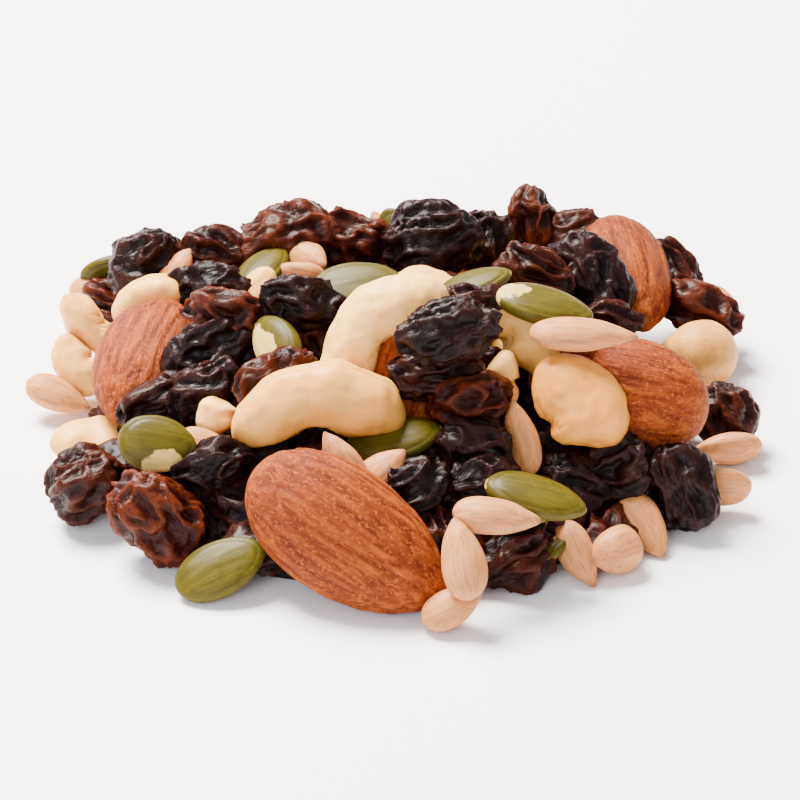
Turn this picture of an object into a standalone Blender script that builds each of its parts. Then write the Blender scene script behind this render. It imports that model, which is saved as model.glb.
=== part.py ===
"""A loose heap of trail mix: raisins, almonds, cashews, pumpkin seeds, sunflower kernels and a round nut.

Metres, +Z up. The origin is on the surface that the heap lies on, under its middle, and -Y is its front.
The pieces of the front are set out by where they show in a square picture of the heap, and slide along the line
of sight until they lie on each other. What the picture doesn't show is filled with pieces that fall into place.
All pieces are fused to a core, because a heap is handled as one thing.
"""

import math
import random
from collections import namedtuple

import bmesh
import bpy
import numpy as np
from mathutils import Matrix
from mathutils.kdtree import KDTree

MM = 0.001

# The picture that the front was set out from: its angle, how far off it was taken, and how far right of and above
# the heap's middle its own middle lies.
VIEW_ELEVATION = math.radians(30)
VIEW_DISTANCE_MM = 480
PICTURE_MIDDLE_MM = (1.2, 7.3)

# The mound that the middles of the outermost pieces lie on.
HEAP_HALF_WIDTH_MM = 42
HEAP_FRONT_DEPTH_MM = 36
HEAP_BACK_DEPTH_MM = 40
HEAP_HEIGHT_MM = 19
FOOTPRINT_POWER = 2.2
SLOPE_POWER = 2.4

# The core, a lower mound under the pieces.
CORE_SINK_MM = 5.0
CORE_SHARE = 0.8
CORE_RINGS = 6
CORE_SIDES = 20
SLIVER_MM = 0.002
FACET_SWELL = 1.05
LEAST_CLEARANCE_MM = 0.05

# How far pieces may press into each other, and how often they are moved until none presses harder.
SOFT_GIVE_MM = 0.9
HARD_GIVE_MM = 0.4
SETTLING_SWEEPS = 120
LOOSE_MOST = 24

# The pieces that fall in under and behind the seen ones, where the picture doesn't show them.
FILL_SEED = 18
FILL_STEP_MM = 1.0
FILL_TILT = math.radians(30)
FILL_ABOVE_MOUND_MM = 2.0
FILL_OVER_RIM_MM = 4
FILL_IN_CORE_MM = 1.5
FREE_PRESS_SHARE = 0.45
COVERING_SHARE = 0.04
TOUCHING_MM = 0.12
PRESS_MM = 0.8

# The grid for telling what lies behind what.
VIEW_CELL_MM = 0.47
VIEW_CELLS = 200

ON_FLOOR = None
BEND = 1.9
NAME = "trail_mix"
COLOUR = (0.20, 0.09, 0.05, 1.0)
ROUGHNESS = 0.5

# One piece: its kind, how far right of and above the heap's middle it shows, its length, width and thickness, the
# angle its pointed end turns to in the picture, how far that end leans to the viewer, its roll about its length,
# how high it lies, and, on a cashew, the angle of its bend in radians. Sizes are in mm and the other angles in
# degrees. It lies some mm above the mound, at a height, or ON_FLOOR.
Height = namedtuple("Height", "mm")
Piece = namedtuple("Piece", "kind at size turn lean roll lift bend", defaults=(BEND,))


# From the ones furthest behind to the ones in front.
SEEN = [
    Piece("pumpkin_seed", (2.0, 25.8), (10, 6, 2.6), 125, 0, 10, Height(12)),
    Piece("sunflower_kernel", (-0.4, 25.6), (9, 4.6, 3.2), 112, 0, 0, Height(11.5)),
    Piece("raisin", (-4.5, 26.1), (9.6, 7, 7), -18, 0, 0, Height(12.4)),
    Piece("raisin", (-11.8, 26.5), (13.4, 8.4, 8), 16, 0, 0, Height(12.8)),
    Piece("raisin", (11.6, 26.5), (8.5, 7.5, 7), 60, 0, 0, Height(12.2)),
    Piece("raisin", (16.5, 27.8), (9.6, 5.6, 5.4), 84, 10, 0, Height(13)),
    Piece("raisin", (21.9, 26.4), (9.5, 6.6, 6), 4, 0, 0, Height(11.6)),
    Piece("raisin", (4.8, 26.2), (12, 9.4, 8), 12, 0, 0, Height(15)),
    Piece("raisin", (32.9, 21.9), (9, 7, 7), -62, 0, 0, Height(7.6)),
    Piece("almond", (28.0, 22.0), (18.6, 11, 8), -76, 40, 28, Height(10.4)),
    Piece("raisin", (23.6, 21.4), (11.2, 8.6, 7.5), -66, 0, 0, 2),
    Piece("raisin", (16.6, 21.5), (9.6, 7, 6), -24, 0, 0, 1),
    Piece("raisin", (-20.5, 24.5), (9.6, 6, 6), -8, 0, 0, Height(11.6)),
    Piece("sunflower_kernel", (-34.2, 20.4), (8.5, 4.6, 3), 8, 0, 50, Height(4.4)),
    Piece("pumpkin_seed", (-32.7, 21.9), (9, 6, 2.6), 184, 0, 45, Height(6)),
    Piece("raisin", (-32.7, 18.7), (8.6, 5.6, 5), -14, 0, 0, Height(4)),
    Piece("raisin", (-28.7, 23.3), (9.6, 8, 7.6), 20, 0, 0, Height(10.6)),
    Piece("sunflower_kernel", (-25.5, 21.9), (8.5, 4.4, 3), 58, 0, 30, Height(10.4)),
    Piece("sunflower_kernel", (-10.8, 21.5), (8.5, 5, 3), 170, 0, 40, 0),
    Piece("sunflower_kernel", (-9.4, 24.1), (6.6, 4, 3), -28, 45, 20, Height(12.6)),
    Piece("pumpkin_seed", (-14.9, 22.6), (9.2, 5.8, 3), 52, -38, 40, Height(11.6)),
    Piece("cashew", (4.7, 17.8), (15, 8, 6.5), -14, 0, 20, 0),
    Piece("pumpkin_seed", (-4.4, 21.3), (11.5, 7.4, 2.6), 9, 0, 35, 1),
    Piece("pumpkin_seed", (9.9, 20.8), (9.4, 5.6, 2.6), 19, 0, 58, 1),
    Piece("cashew", (-15.1, 19.2), (8.5, 5, 4.5), 62, 0, 0, -1),
    Piece("sunflower_kernel", (-14.0, 17.6), (8.6, 5.0, 3.8), -70, 20, 0, 0),
    Piece("raisin", (-9.2, 13.9), (9, 6.6, 6), -62, 0, 0, 0),
    Piece("raisin", (-9.8, 18.8), (10.4, 6.6, 6), -14, 0, 0, 2),
    Piece("raisin", (-21.2, 20.6), (9.8, 5.6, 6), -2, 0, 0, 1),
    Piece("raisin", (2.5, 14.4), (9, 6.4, 5), 30, 0, 0, -1),
    Piece("almond", (1.6, 10.6), (20, 12, 8), 80, 0, 20, -4),
    Piece("cashew", (-0.4, 14.7), (19.6, 7.6, 7.2), 42, 0, 0, 3, 2.3),
    Piece("raisin", (9.4, 18.4), (8, 5.4, 5), 8, 0, 0, 0),
    Piece("cashew", (-28.1, 18.7), (11.5, 4.8, 5), 22, 0, 15, 0),
    Piece("cashew", (-33.6, 16.0), (15, 5.2, 5.2), 146, 0, 30, 0, 1.6),
    Piece("cashew", (-36.4, 11.1), (9.8, 5.8, 5.4), -54, 0, 180, ON_FLOOR, 2.2),
    Piece("almond", (-28.9, 11.5), (20, 12, 9), -110, 42, -22, 1),
    Piece("raisin", (-18.7, 17.4), (12.2, 6, 6), -12, 0, 0, 1),
    Piece("raisin", (-20.8, 12.7), (11.8, 8.4, 7), 18, 0, 0, 2),
    Piece("pumpkin_seed", (-13.4, 13.9), (9, 5.8, 3), 128, -40, 20, 1),
    Piece("cashew", (14.8, 15.1), (13.5, 7.4, 6.6), -52, 0, 25, 0),
    Piece("cashew", (14.0, 9.5), (8.5, 4.6, 4.4), 84, 0, 0, -2),
    Piece("raisin", (25.4, 16.7), (8, 4.6, 5), -8, 0, 0, 0),
    Piece("pumpkin_seed", (18.2, 18.4), (11.4, 6.4, 2.8), -13, 0, 52, 3),
    Piece("sunflower_kernel", (39.4, 17.2), (7, 4, 3), -50, 0, 30, 1),
    Piece("raisin", (36.8, 16.9), (10.2, 7, 6.5), -20, 0, 0, 1),
    Piece("round_nut", (36.7, 12.7), (9, 8.4, 8.4), 172, 0, 0, ON_FLOOR),
    Piece("raisin", (39.2, 6.0), (8.2, 7.4, 7), -52, 0, 0, ON_FLOOR),
    Piece("almond", (26.8, 8.0), (21.4, 13.4, 9.4), 168, -12, 10, 1),
    Piece("cashew", (21.4, 6.5), (17, 9.8, 8.8), -50, 0, 0, 3, 1.2),
    Piece("sunflower_kernel", (23.2, 15.1), (12.6, 4.4, 3), -2, 0, 40, 4),
    Piece("raisin", (-21.8, 8.2), (9.4, 7.6, 6), 30, 0, 0, -2),
    Piece("raisin", (-27.1, 6.8), (9.6, 6, 6), 24, 0, 0, 0),
    Piece("cashew", (-20.0, 5.4), (7.2, 5.2, 4.6), 96, 0, 10, 1, 0.9),
    Piece("raisin", (-13.9, 10.0), (10, 5.2, 5.5), 27, 0, 0, 1),
    Piece("raisin", (4.9, 10.6), (10.6, 6.6, 6), 4, 0, 0, 0),
    Piece("raisin", (8.6, 15.3), (10.8, 7.6, 7), 18, 0, 0, 3),
    Piece("raisin", (9.2, 7.5), (9.8, 5.4, 5.5), 12, 0, 0, 2),
    Piece("sunflower_kernel", (15.4, 2.8), (9.2, 4.2, 3.2), 103, 0, 18, 0),
    Piece("pumpkin_seed", (0.4, 2.5), (11.6, 6.6, 2.8), 13, 0, 45, 0),
    Piece("cashew", (-8.5, 5.2), (22.4, 8.4, 8), 7, 0, -30, 3, 2.2),
    Piece("raisin", (27.1, -0.9), (9.5, 7.4, 7), 20, 0, 0, -4),
    Piece("raisin", (10.0, 1.4), (8.6, 6.8, 6), -22, 0, 0, 0),
    Piece("raisin", (10.8, -2.6), (9, 5.6, 5.5), 12, 0, 0, -1),
    Piece("raisin", (2.8, -3.1), (9, 6, 5.5), 26, 0, 0, -1),
    Piece("sunflower_kernel", (-1.4, -1.5), (8.4, 4.6, 3), 42, 0, 20, 0),
    Piece("sunflower_kernel", (-5.4, -0.2), (8.6, 4.4, 3), 122, 0, 30, 0),
    Piece("sunflower_kernel", (-21.4, 1.3), (8, 4.8, 3), -22, 0, 20, -1),
    Piece("cashew", (-35.3, 1.8), (12.6, 6.6, 5), 4, 0, 42, ON_FLOOR, 1.2),
    Piece("sunflower_kernel", (-39.6, 7.0), (8.4, 4.8, 3.2), -22, 0, 48, ON_FLOOR),
    Piece("pumpkin_seed", (-27.3, 2.1), (9.2, 6.6, 2.8), -10, 0, 12, 1),
    Piece("raisin", (-20.5, -0.7), (9.6, 6.4, 6), 20, 0, 0, -1),
    Piece("raisin", (-19.4, -6.0), (8.6, 7.4, 6.5), -76, 0, 0, ON_FLOOR),
    Piece("raisin", (-35.8, -2.5), (9.4, 8.4, 7.5), 28, 0, 0, ON_FLOOR),
    Piece("raisin", (-27.4, -6.6), (11.4, 9.6, 8), -48, 0, 0, ON_FLOOR),
    Piece("raisin", (22.2, -3.5), (9.6, 8, 7), -20, 0, 0, ON_FLOOR),
    Piece("sunflower_kernel", (29.1, -3.5), (7.5, 4.8, 3.2), 60, 0, 0, ON_FLOOR),
    Piece("sunflower_kernel", (39.6, 1.6), (8.6, 4.4, 3.2), 186, 0, 48, ON_FLOOR),
    Piece("sunflower_kernel", (38.7, -2.4), (8.8, 5, 3.2), 178, 0, 40, ON_FLOOR),
    Piece("raisin", (34.4, -2.9), (10.6, 7.4, 7), -74, 0, 0, ON_FLOOR),
    Piece("sunflower_kernel", (30.0, -7.6), (8.8, 4.6, 3.2), -58, 20, 0, ON_FLOOR),
    Piece("sunflower_kernel", (22.0, -10.8), (8.8, 4.2, 3.2), -62, 20, 0, ON_FLOOR),
    Piece("sunflower_kernel", (26.5, -10.5), (7, 5.4, 4.4), -160, 30, 0, ON_FLOOR),
    Piece("pumpkin_seed", (16.9, -11.1), (9, 5.6, 2.4), 28, 0, 62, ON_FLOOR),
    Piece("raisin", (6.1, -9.5), (8.4, 6, 5.5), -62, 0, 0, ON_FLOOR),
    Piece("raisin", (14.0, -10.9), (9.4, 5.6, 5.5), 32, 0, 0, ON_FLOOR),
    Piece("pumpkin_seed", (17.2, -4.1), (11.7, 6.2, 3), -15, 0, 48, 0),
    Piece("pumpkin_seed", (-19.9, -12.5), (11, 6.8, 2.8), 26, 0, 28, ON_FLOOR),
    Piece("almond", (-4.8, -8.7), (26, 14.2, 9), -34, 8, 0, ON_FLOOR),
    Piece("sunflower_kernel", (8.0, -17.9), (7.6, 4.6, 3.4), 28, 0, 40, ON_FLOOR),
    Piece("sunflower_kernel", (12.6, -6.4), (10, 4.6, 3.4), -6, 0, 40, 0),
    Piece("sunflower_kernel", (9.1, -12.2), (9.6, 5, 3.4), 101, -14, 0, 1),
]

# What lies where the picture doesn't show it, the largest first: kind, how many places are tried, how many pieces
# there are at most, and their length, width and thickness in mm.
Share = namedtuple("Share", "kind tries most size")
MIX = [
    Share("almond", 300, 4, (21, 12.6, 8.4)),
    Share("cashew", 500, 8, (16, 7.4, 6.6)),
    Share("raisin", 1500, 27, (9.8, 7.2, 6.2)),
    Share("pumpkin_seed", 400, 7, (10.4, 6.2, 2.7)),
    Share("sunflower_kernel", 300, 6, (8.8, 4.7, 3.2)),
]
SIZE_SPREAD = 0.12


# The viewer's right, up and towards, and the eye's place in mm.
RIGHT = np.array([1.0, 0.0, 0.0])
UP = np.array([0.0, math.sin(VIEW_ELEVATION), math.cos(VIEW_ELEVATION)])
TOWARDS = np.array([0.0, -math.cos(VIEW_ELEVATION), math.sin(VIEW_ELEVATION)])
EYE = TOWARDS * VIEW_DISTANCE_MM + RIGHT * PICTURE_MIDDLE_MM[0] + UP * PICTURE_MIDDLE_MM[1]


def sight(at):
    """The direction from the eye to a place in the picture, with a step of 1 mm in depth."""
    across, above = np.subtract(at, PICTURE_MIDDLE_MM) / VIEW_DISTANCE_MM
    return RIGHT * across + UP * above - TOWARDS


def outwards(x, y):
    """How far out a point of the plan is: 0 at the middle and 1 on the mound's edge."""
    depth = np.where(y > 0, HEAP_BACK_DEPTH_MM, HEAP_FRONT_DEPTH_MM)
    across = np.abs(x / HEAP_HALF_WIDTH_MM) ** FOOTPRINT_POWER
    return (across + np.abs(y / depth) ** FOOTPRINT_POWER) ** (1 / FOOTPRINT_POWER)


def mound(x, y):
    """Height of the mound in mm over a point of the plan."""
    return HEAP_HEIGHT_MM * (1 - outwards(x, y) ** SLOPE_POWER)


def unit_ball(segments, rings):
    """Points and faces of a ball with its poles on X."""
    made = bmesh.new()
    bmesh.ops.create_uvsphere(made, u_segments=segments, v_segments=rings, radius=1)
    bmesh.ops.rotate(
        made, verts=made.verts, matrix=Matrix.Rotation(math.pi / 2, 3, "Y")
    )
    points = np.array([v.co for v in made.verts])
    faces = [[v.index for v in f.verts] for f in made.faces]
    made.free()
    return points, faces


def tapered(ball, size, taper, flatten=1.0):
    """A ball stretched to size, its width and thickness changed along its length."""
    x, y, z = ball.T
    flat = np.sign(z) * np.abs(z) ** flatten
    return np.stack([x, y * taper, flat * taper], axis=1) * np.array(size) / 2


def almond(ball, size, draw, bend):
    """A drop with a blunt end and a short point."""
    x = ball[:, 0]
    tip = np.clip(x, 0, 1)
    return tapered(ball, size, (1.02 - 0.14 * x) * (1 - 0.34 * tip**4))


def pumpkin_seed(ball, size, draw, bend):
    """A flat oval that narrows to its pointed end."""
    x = ball[:, 0]
    return tapered(ball, size, 1 - 0.1 * x - 0.12 * np.clip(x, 0, 1) ** 3, 0.8)


def sunflower_kernel(ball, size, draw, bend):
    """A drop, round at one end and sharp at the other."""
    x = ball[:, 0]
    return tapered(ball, size, (1 - 0.26 * x) * (1 - 0.42 * np.clip(x, 0, 1) ** 3))


def round_nut(ball, size, draw, bend):
    """A ball with a small nub at its end."""
    x = ball[:, 0]
    nub = np.clip((x - 0.8) / 0.2, 0, 1)
    points = tapered(ball, size, 1 - 0.12 * nub)
    points[:, 0] *= 1 + 0.12 * nub
    return points


def raisin(ball, size, draw, bend):
    """An oval with shallow lumps."""
    lumps = np.zeros(len(ball))
    for pitch, depth in ((1.7, 0.07), (2.6, 0.06), (3.9, 0.04)):
        way = np.array([draw.gauss(0, 1) for _ in range(3)])
        way *= pitch / np.linalg.norm(way)
        lumps += depth * np.sin(ball @ way * 2 + draw.uniform(0, 2 * math.pi))
    squared = np.sign(ball) * np.abs(ball) ** 0.9
    return squared * (1 + lumps)[:, None] * np.array(size) / 2


def cashew(ball, size, draw, bend):
    """A bean bent in its width, its hollowed side towards -Y."""
    x, y, z = ball.T
    length, width, thick = size
    blunt = np.sqrt((1 - np.abs(x) ** 2.8) / np.maximum(1 - x**2, 1e-4))
    blunt = np.minimum(blunt, 1.18) * (1 + 0.1 * x)
    radius = (length - 0.55 * width) / (2 * math.sin(bend / 2))
    angle = x * bend / 2
    reach = radius + y * blunt * width / 2
    sag = radius * (1 + math.cos(bend / 2)) / 2
    return np.stack(
        [reach * np.sin(angle), reach * np.cos(angle) - sag, z * blunt * thick / 2],
        axis=1,
    )


# Each kind's form, its sides round and along, those of a hidden piece, and whether it gives when pressed.
Kind = namedtuple("Kind", "form sides hidden_sides soft")
KINDS = {
    "raisin": Kind(raisin, (7, 4), (5, 4), True),
    "almond": Kind(almond, (9, 7), (7, 5), False),
    "cashew": Kind(cashew, (7, 7), (6, 5), False),
    "pumpkin_seed": Kind(pumpkin_seed, (8, 4), (6, 4), False),
    "sunflower_kernel": Kind(sunflower_kernel, (6, 4), (5, 4), False),
    "round_nut": Kind(round_nut, (9, 7), (6, 4), False),
}
FINE_BALL = unit_ball(36, 26)


def view_turn(piece):
    """The piece's own axes as columns, from its turn, lean and roll in the picture."""
    turn, lean, roll = (math.radians(a) for a in (piece.turn, piece.lean, piece.roll))
    along = RIGHT * math.cos(turn) + UP * math.sin(turn)
    along = along * math.cos(lean) + TOWARDS * math.sin(lean)
    face = TOWARDS - along * (TOWARDS @ along)
    face /= np.linalg.norm(face)
    side = np.cross(face, along)
    face = face * math.cos(roll) + side * math.sin(roll)
    return np.stack([along, np.cross(face, along), face], axis=1)


class Laid:
    """One piece with its place: its kind, size, seed, bend, axes and middle."""

    def __init__(self, kind, size, seed, axes, bend=BEND, shown=True):
        self.kind, self.size, self.seed = kind, size, seed
        self.axes, self.bend, self.shown = axes, bend, shown
        self.middle = np.zeros(3)
        self.offsets = self.skin(FINE_BALL[0])
        self.radii = np.ptp(self.offsets @ axes, axis=0) / 2

    def skin(self, ball):
        """The points of its skin about its middle, from those of a ball."""
        form = KINDS[self.kind].form
        return form(ball, self.size, random.Random(self.seed), self.bend) @ self.axes.T

    def points(self):
        """Closely set points of its skin in their places."""
        return self.offsets + self.middle


def view_cells(points):
    """The picture cells that points fall in, and their depth from the eye."""
    rays = points - EYE
    depth = -(rays @ TOWARDS)
    across = VIEW_DISTANCE_MM * (rays @ RIGHT) / depth / VIEW_CELL_MM
    above = VIEW_DISTANCE_MM * (rays @ UP) / depth / VIEW_CELL_MM
    column = np.clip(np.floor(across + VIEW_CELLS / 2), 0, VIEW_CELLS - 1)
    row = np.clip(np.floor(VIEW_CELLS / 2 - above), 0, VIEW_CELLS - 1)
    return (row * VIEW_CELLS + column).astype(int), depth


def nearest_and_furthest(laid):
    """For each picture cell that the piece covers, its nearest and furthest depth."""
    cell, depth = view_cells(laid.points())
    order = np.argsort(cell)
    cell, depth = cell[order], depth[order]
    found, start = np.unique(cell, return_index=True)
    nearest = np.minimum.reduceat(depth, start)
    furthest = np.maximum.reduceat(depth, start)
    return found, nearest, furthest


def floor_depth(laid, way):
    """The depth at which the piece's lowest point just meets the floor."""
    lowest = laid.offsets[:, 2].min()
    return (-lowest - EYE[2]) / way[2]


def mound_depth(way, lift):
    """The depth at which a line of sight comes closest to the raised mound, or first meets it."""
    depths = VIEW_DISTANCE_MM + np.linspace(-60, 60, 961)
    points = EYE + depths[:, None] * way
    gap = points[:, 2] - mound(points[:, 0], points[:, 1]) - lift
    met = np.nonzero(gap <= 0)[0]
    return depths[met[0] if len(met) else np.argmin(gap)]


def start_depth(one, piece, way, floor):
    """Where along its line of sight a piece is first put."""
    if piece.lift is ON_FLOOR:
        return floor
    if isinstance(piece.lift, Height):
        return min(floor, (piece.lift.mm - EYE[2]) / way[2])
    return min(floor, mound_depth(way, piece.lift))


def firm(piece):
    """Whether a piece has its height, so that the others give way."""
    return piece.lift is ON_FLOOR or isinstance(piece.lift, Height)


def core_room(one, way, depth):
    """How far a piece may go back before it touches the core."""
    steps = np.arange(0, 12, 0.4)
    for step in steps:
        points = one.offsets + EYE + way * (depth + step)
        under = points[:, 2] - core_height(points[:, 0], points[:, 1])
        if under.min() < -PRESS_MM:
            return step
    return steps[-1]


def settle(pieces):
    """Lays the seen pieces: each moves only along its line of sight, first apart and then back to a rest."""
    laid = [
        Laid(piece.kind, piece.size, number, view_turn(piece), piece.bend)
        for number, piece in enumerate(pieces)
    ]
    ways = [sight(piece.at) for piece in pieces]
    floors = np.array([floor_depth(one, way) for one, way in zip(laid, ways)])
    depth = np.array(
        [start_depth(*each) for each in zip(laid, pieces, ways, floors)]
    )
    for one, way, at in zip(laid, ways, depth):
        one.middle = EYE + way * at
    ease = [0 if firm(piece) else 1 for piece in pieces]
    room = [
        min(floor - at, core_room(one, way, at))
        for one, way, floor, at in zip(laid, ways, floors, depth)
    ]
    shift = np.zeros(len(pieces))
    pairs = overlaps_in_view(laid)
    for _ in range(SETTLING_SWEEPS):
        for front, behind, gap in pairs:
            short = shift[front] - shift[behind] - gap
            either = ease[front] + ease[behind]
            if short <= 0 or either == 0:
                continue
            back = short * ease[behind] / either
            back = min(back, max(0, room[behind] - shift[behind]))
            shift[behind] += back
            if ease[front]:
                shift[front] -= short - back
    for number, one in enumerate(laid):
        if ease[number]:
            way, at = ways[number], depth[number] + shift[number]
            reach = [gap + shift[b] for f, b, gap in pairs if f == number]
            reach.append(shift[number] + core_room(one, way, at))
            shift[number] = max(shift[number], min([room[number], *reach]))
        one.middle = EYE + ways[number] * (depth[number] + shift[number])
    return laid


def overlaps_in_view(laid):
    """Pairs of pieces that show over each other, with how far the front one may still go back."""
    spans = [nearest_and_furthest(one) for one in laid]
    pairs = []
    for front in range(len(laid)):
        for behind in range(front):
            shared = np.intersect1d(
                spans[front][0], spans[behind][0], return_indices=True
            )
            if not len(shared[0]):
                continue
            soft = KINDS[laid[front].kind].soft or KINDS[laid[behind].kind].soft
            gap = (spans[behind][1][shared[2]] - spans[front][2][shared[1]]).min()
            pairs.append(
                (front, behind, gap + (SOFT_GIVE_MM if soft else HARD_GIVE_MM))
            )
    return pairs


def core_height(x, y):
    """Height of the core in mm, under the mound."""
    return CORE_SHARE * (mound(x, y) - CORE_SINK_MM)


class Cover:
    """What the seen pieces cover in the picture."""

    def __init__(self, seen):
        self.near = np.full(VIEW_CELLS**2, np.inf)
        for one in seen:
            cell, nearest, _ = nearest_and_furthest(one)
            np.minimum.at(self.near, cell, nearest)
        covered = np.isfinite(self.near).reshape(VIEW_CELLS, VIEW_CELLS)
        within = np.ones_like(covered)
        for axis in (0, 1):
            before = np.maximum.accumulate(covered, axis)
            after = np.maximum.accumulate(np.flip(covered, axis), axis)
            within &= before & np.flip(after, axis)
        self.within = within.ravel()

    def in_the_way(self, one):
        """Whether a piece hides a seen one, sticks out beside the heap, or is pale in a gap."""
        cell, nearest, _ = nearest_and_furthest(one)
        shows = nearest < self.near[cell]
        if one.kind == "raisin":
            shows &= np.isfinite(self.near[cell]) | ~self.within[cell]
        return shows.mean() > COVERING_SHARE


class Packing:
    """All that is laid, as stretched balls, for telling what is free and how far a piece falls."""

    def __init__(self, laid):
        self.laid = []
        for one in laid:
            self.add(one)

    def add(self, one):
        """Adds a piece."""
        self.laid.append(one)
        self.middles = np.array([each.middle for each in self.laid])
        self.axes = np.array([each.axes for each in self.laid])
        self.radii = np.array([each.radii for each in self.laid])
        self.skins = np.concatenate([each.points()[::23] for each in self.laid])

    def both_ways(self, one):
        """The piece's skin as the other balls see it, and the others' skins as its own ball sees them."""
        points = one.points()[::9]
        theirs = np.einsum("mnk,nkj->mnj", points[:, None] - self.middles, self.axes)
        return theirs / self.radii, (self.skins - one.middle) @ one.axes / one.radii

    def press(self, one):
        """How deep the piece and the others press into each other, as a share of the thinner one's half."""
        theirs, own = self.both_ways(one)
        least = one.radii.min()
        others = self.radii.min(axis=1)
        into_them = (1 - np.linalg.norm(theirs, axis=2)) * others / np.minimum(others, least)
        into_it = 1 - np.linalg.norm(own, axis=1)
        return max(into_them.max(), into_it.max())

    def fall(self, one):
        """Lets the piece straight down until it lies on something."""
        theirs, own = self.both_ways(one)
        down = np.array([0.0, 0.0, -1.0])
        meets = [
            first_meeting(theirs, np.einsum("k,nkj->nj", down, self.axes) / self.radii),
            first_meeting(own, -(down @ one.axes) / one.radii),
        ]
        points = one.points()
        height = points[:, 2] - np.maximum(core_height(points[:, 0], points[:, 1]), 0)
        one.middle[2] -= max(0, min(*meets, height.min()))


def first_meeting(points, way):
    """How far points move along way until one meets the ball of radius 1 about the origin."""
    speed = (way**2).sum(axis=-1)
    towards = (points * way).sum(axis=-1)
    apart = (points**2).sum(axis=-1) - 1
    under_root = towards**2 - speed * apart
    meets = (under_root > 0) & (towards < 0)
    far = (-towards - np.sqrt(np.maximum(under_root, 0))) / speed
    return np.maximum(far[meets], 0).min(initial=50.0)


def placed_by_draw(kind, size, seed, draw):
    """A piece over a drawn point of the plan, lying nearly flat with a drawn turn."""
    turn = Matrix.Rotation(draw.uniform(0, 2 * math.pi), 3, "Z")
    turn @= Matrix.Rotation(draw.uniform(-1, 1) * FILL_TILT, 3, "Y")
    turn @= Matrix.Rotation(draw.uniform(-1, 1) * FILL_TILT, 3, "X")
    one = Laid(kind, size, seed, np.array(turn), shown=False)
    out, round_by = math.sqrt(draw.random()), draw.uniform(0, 2 * math.pi)
    x, y = math.cos(round_by), math.sin(round_by)
    one.middle[:2] = np.array([x, y]) * out / outwards(x, y)
    return one


def fill(seen, draw):
    """Pieces that start at free spots in the mound and fall until they lie on something."""
    cover, packing, added = Cover(seen), Packing(seen), []
    for share in MIX:
        found = 0
        for attempt in range(share.tries):
            size = [s * (1 + draw.uniform(-1, 1) * SIZE_SPREAD) for s in share.size]
            one = placed_by_draw(share.kind, size, attempt, draw)
            if found < share.most and comes_to_lie(one, cover, packing):
                packing.add(one)
                added.append(one)
                found += 1
    return added


def comes_to_lie(one, cover, packing):
    """Whether a piece finds a free and hidden spot below its point of the mound, where it is then left."""
    x, y = one.middle[:2]
    highest = max(mound(x, y), FILL_OVER_RIM_MM) + FILL_ABOVE_MOUND_MM
    lowest = max(core_height(x, y) - FILL_IN_CORE_MM, -one.offsets[:, 2].min())
    for height in np.arange(highest, lowest, -FILL_STEP_MM):
        one.middle[2] = height
        if cover.in_the_way(one) or packing.press(one) > FREE_PRESS_SHARE:
            continue
        packing.fall(one)
        return not cover.in_the_way(one)
    return False


def groups_touching(laid):
    """Which pieces hang together: one number for each, 0 for those that reach the core."""
    tree = KDTree(sum(len(one.offsets) for one in laid))
    owners = []
    for number, one in enumerate(laid):
        for point in one.points():
            tree.insert(point, len(owners))
            owners.append(number)
    tree.balance()
    links = [set() for _ in laid]
    for number, one in enumerate(laid):
        for point in one.points()[::3]:
            for _, index, _ in tree.find_range(point, TOUCHING_MM):
                links[number].add(owners[index])
                links[owners[index]].add(number)
    group = [None] * len(laid)
    for number, one in enumerate(laid):
        points = one.points()
        if (points[:, 2] < core_height(points[:, 0], points[:, 1]) - 0.1).any():
            group[number] = 0
    latest = 0
    for start in range(-1, len(laid)):
        if start >= 0 and group[start] is not None:
            continue
        if start < 0:
            edge = [n for n in range(len(laid)) if group[n] == 0]
        else:
            latest += 1
            group[start] = latest
            edge = [start]
        while edge:
            one = edge.pop()
            for other in links[one]:
                if group[other] is None:
                    group[other] = group[one]
                    edge.append(other)
    return group


def way_to_touch(moved, tree):
    """The shortest way by which some pieces reach the skin held in a tree."""
    ends = [(tree.find(p), p) for one in moved for p in one.points()[::2]]
    (target, _, gap), point = min(ends, key=lambda end: end[0][2])
    way = (np.array(target) - point) * (gap + PRESS_MM) / max(gap, 1e-6)
    lowest = min(one.points()[:, 2].min() for one in moved)
    way[2] = max(way[2], -lowest)
    return way


def gather(laid):
    """Moves each loose group by a little until it touches the rest, the nearest group first."""
    for _ in range(LOOSE_MOST):
        group = groups_touching(laid)
        if not any(group):
            return
        skin = np.concatenate([one.points() for one, n in zip(laid, group) if n == 0])
        tree = KDTree(len(skin))
        for index, point in enumerate(skin):
            tree.insert(point, index)
        tree.balance()
        ways = []
        for number in set(group) - {0}:
            moved = [one for one, n in zip(laid, group) if n == number]
            ways.append((way_to_touch(moved, tree), moved))
        way, moved = min(ways, key=lambda each: np.linalg.norm(each[0]))
        for one in moved:
            one.middle = one.middle + way


def laid_out():
    """All pieces of the heap in their places."""
    seen = settle(SEEN)
    laid = fill(seen, random.Random(FILL_SEED)) + seen
    gather(laid)
    return laid


def mesh_object(name, points, faces):
    """An object from points in mm and faces."""
    mesh = bpy.data.meshes.new(name)
    mesh.from_pydata((points * MM).tolist(), [], faces)
    return bpy.data.objects.new(name, mesh)


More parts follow.
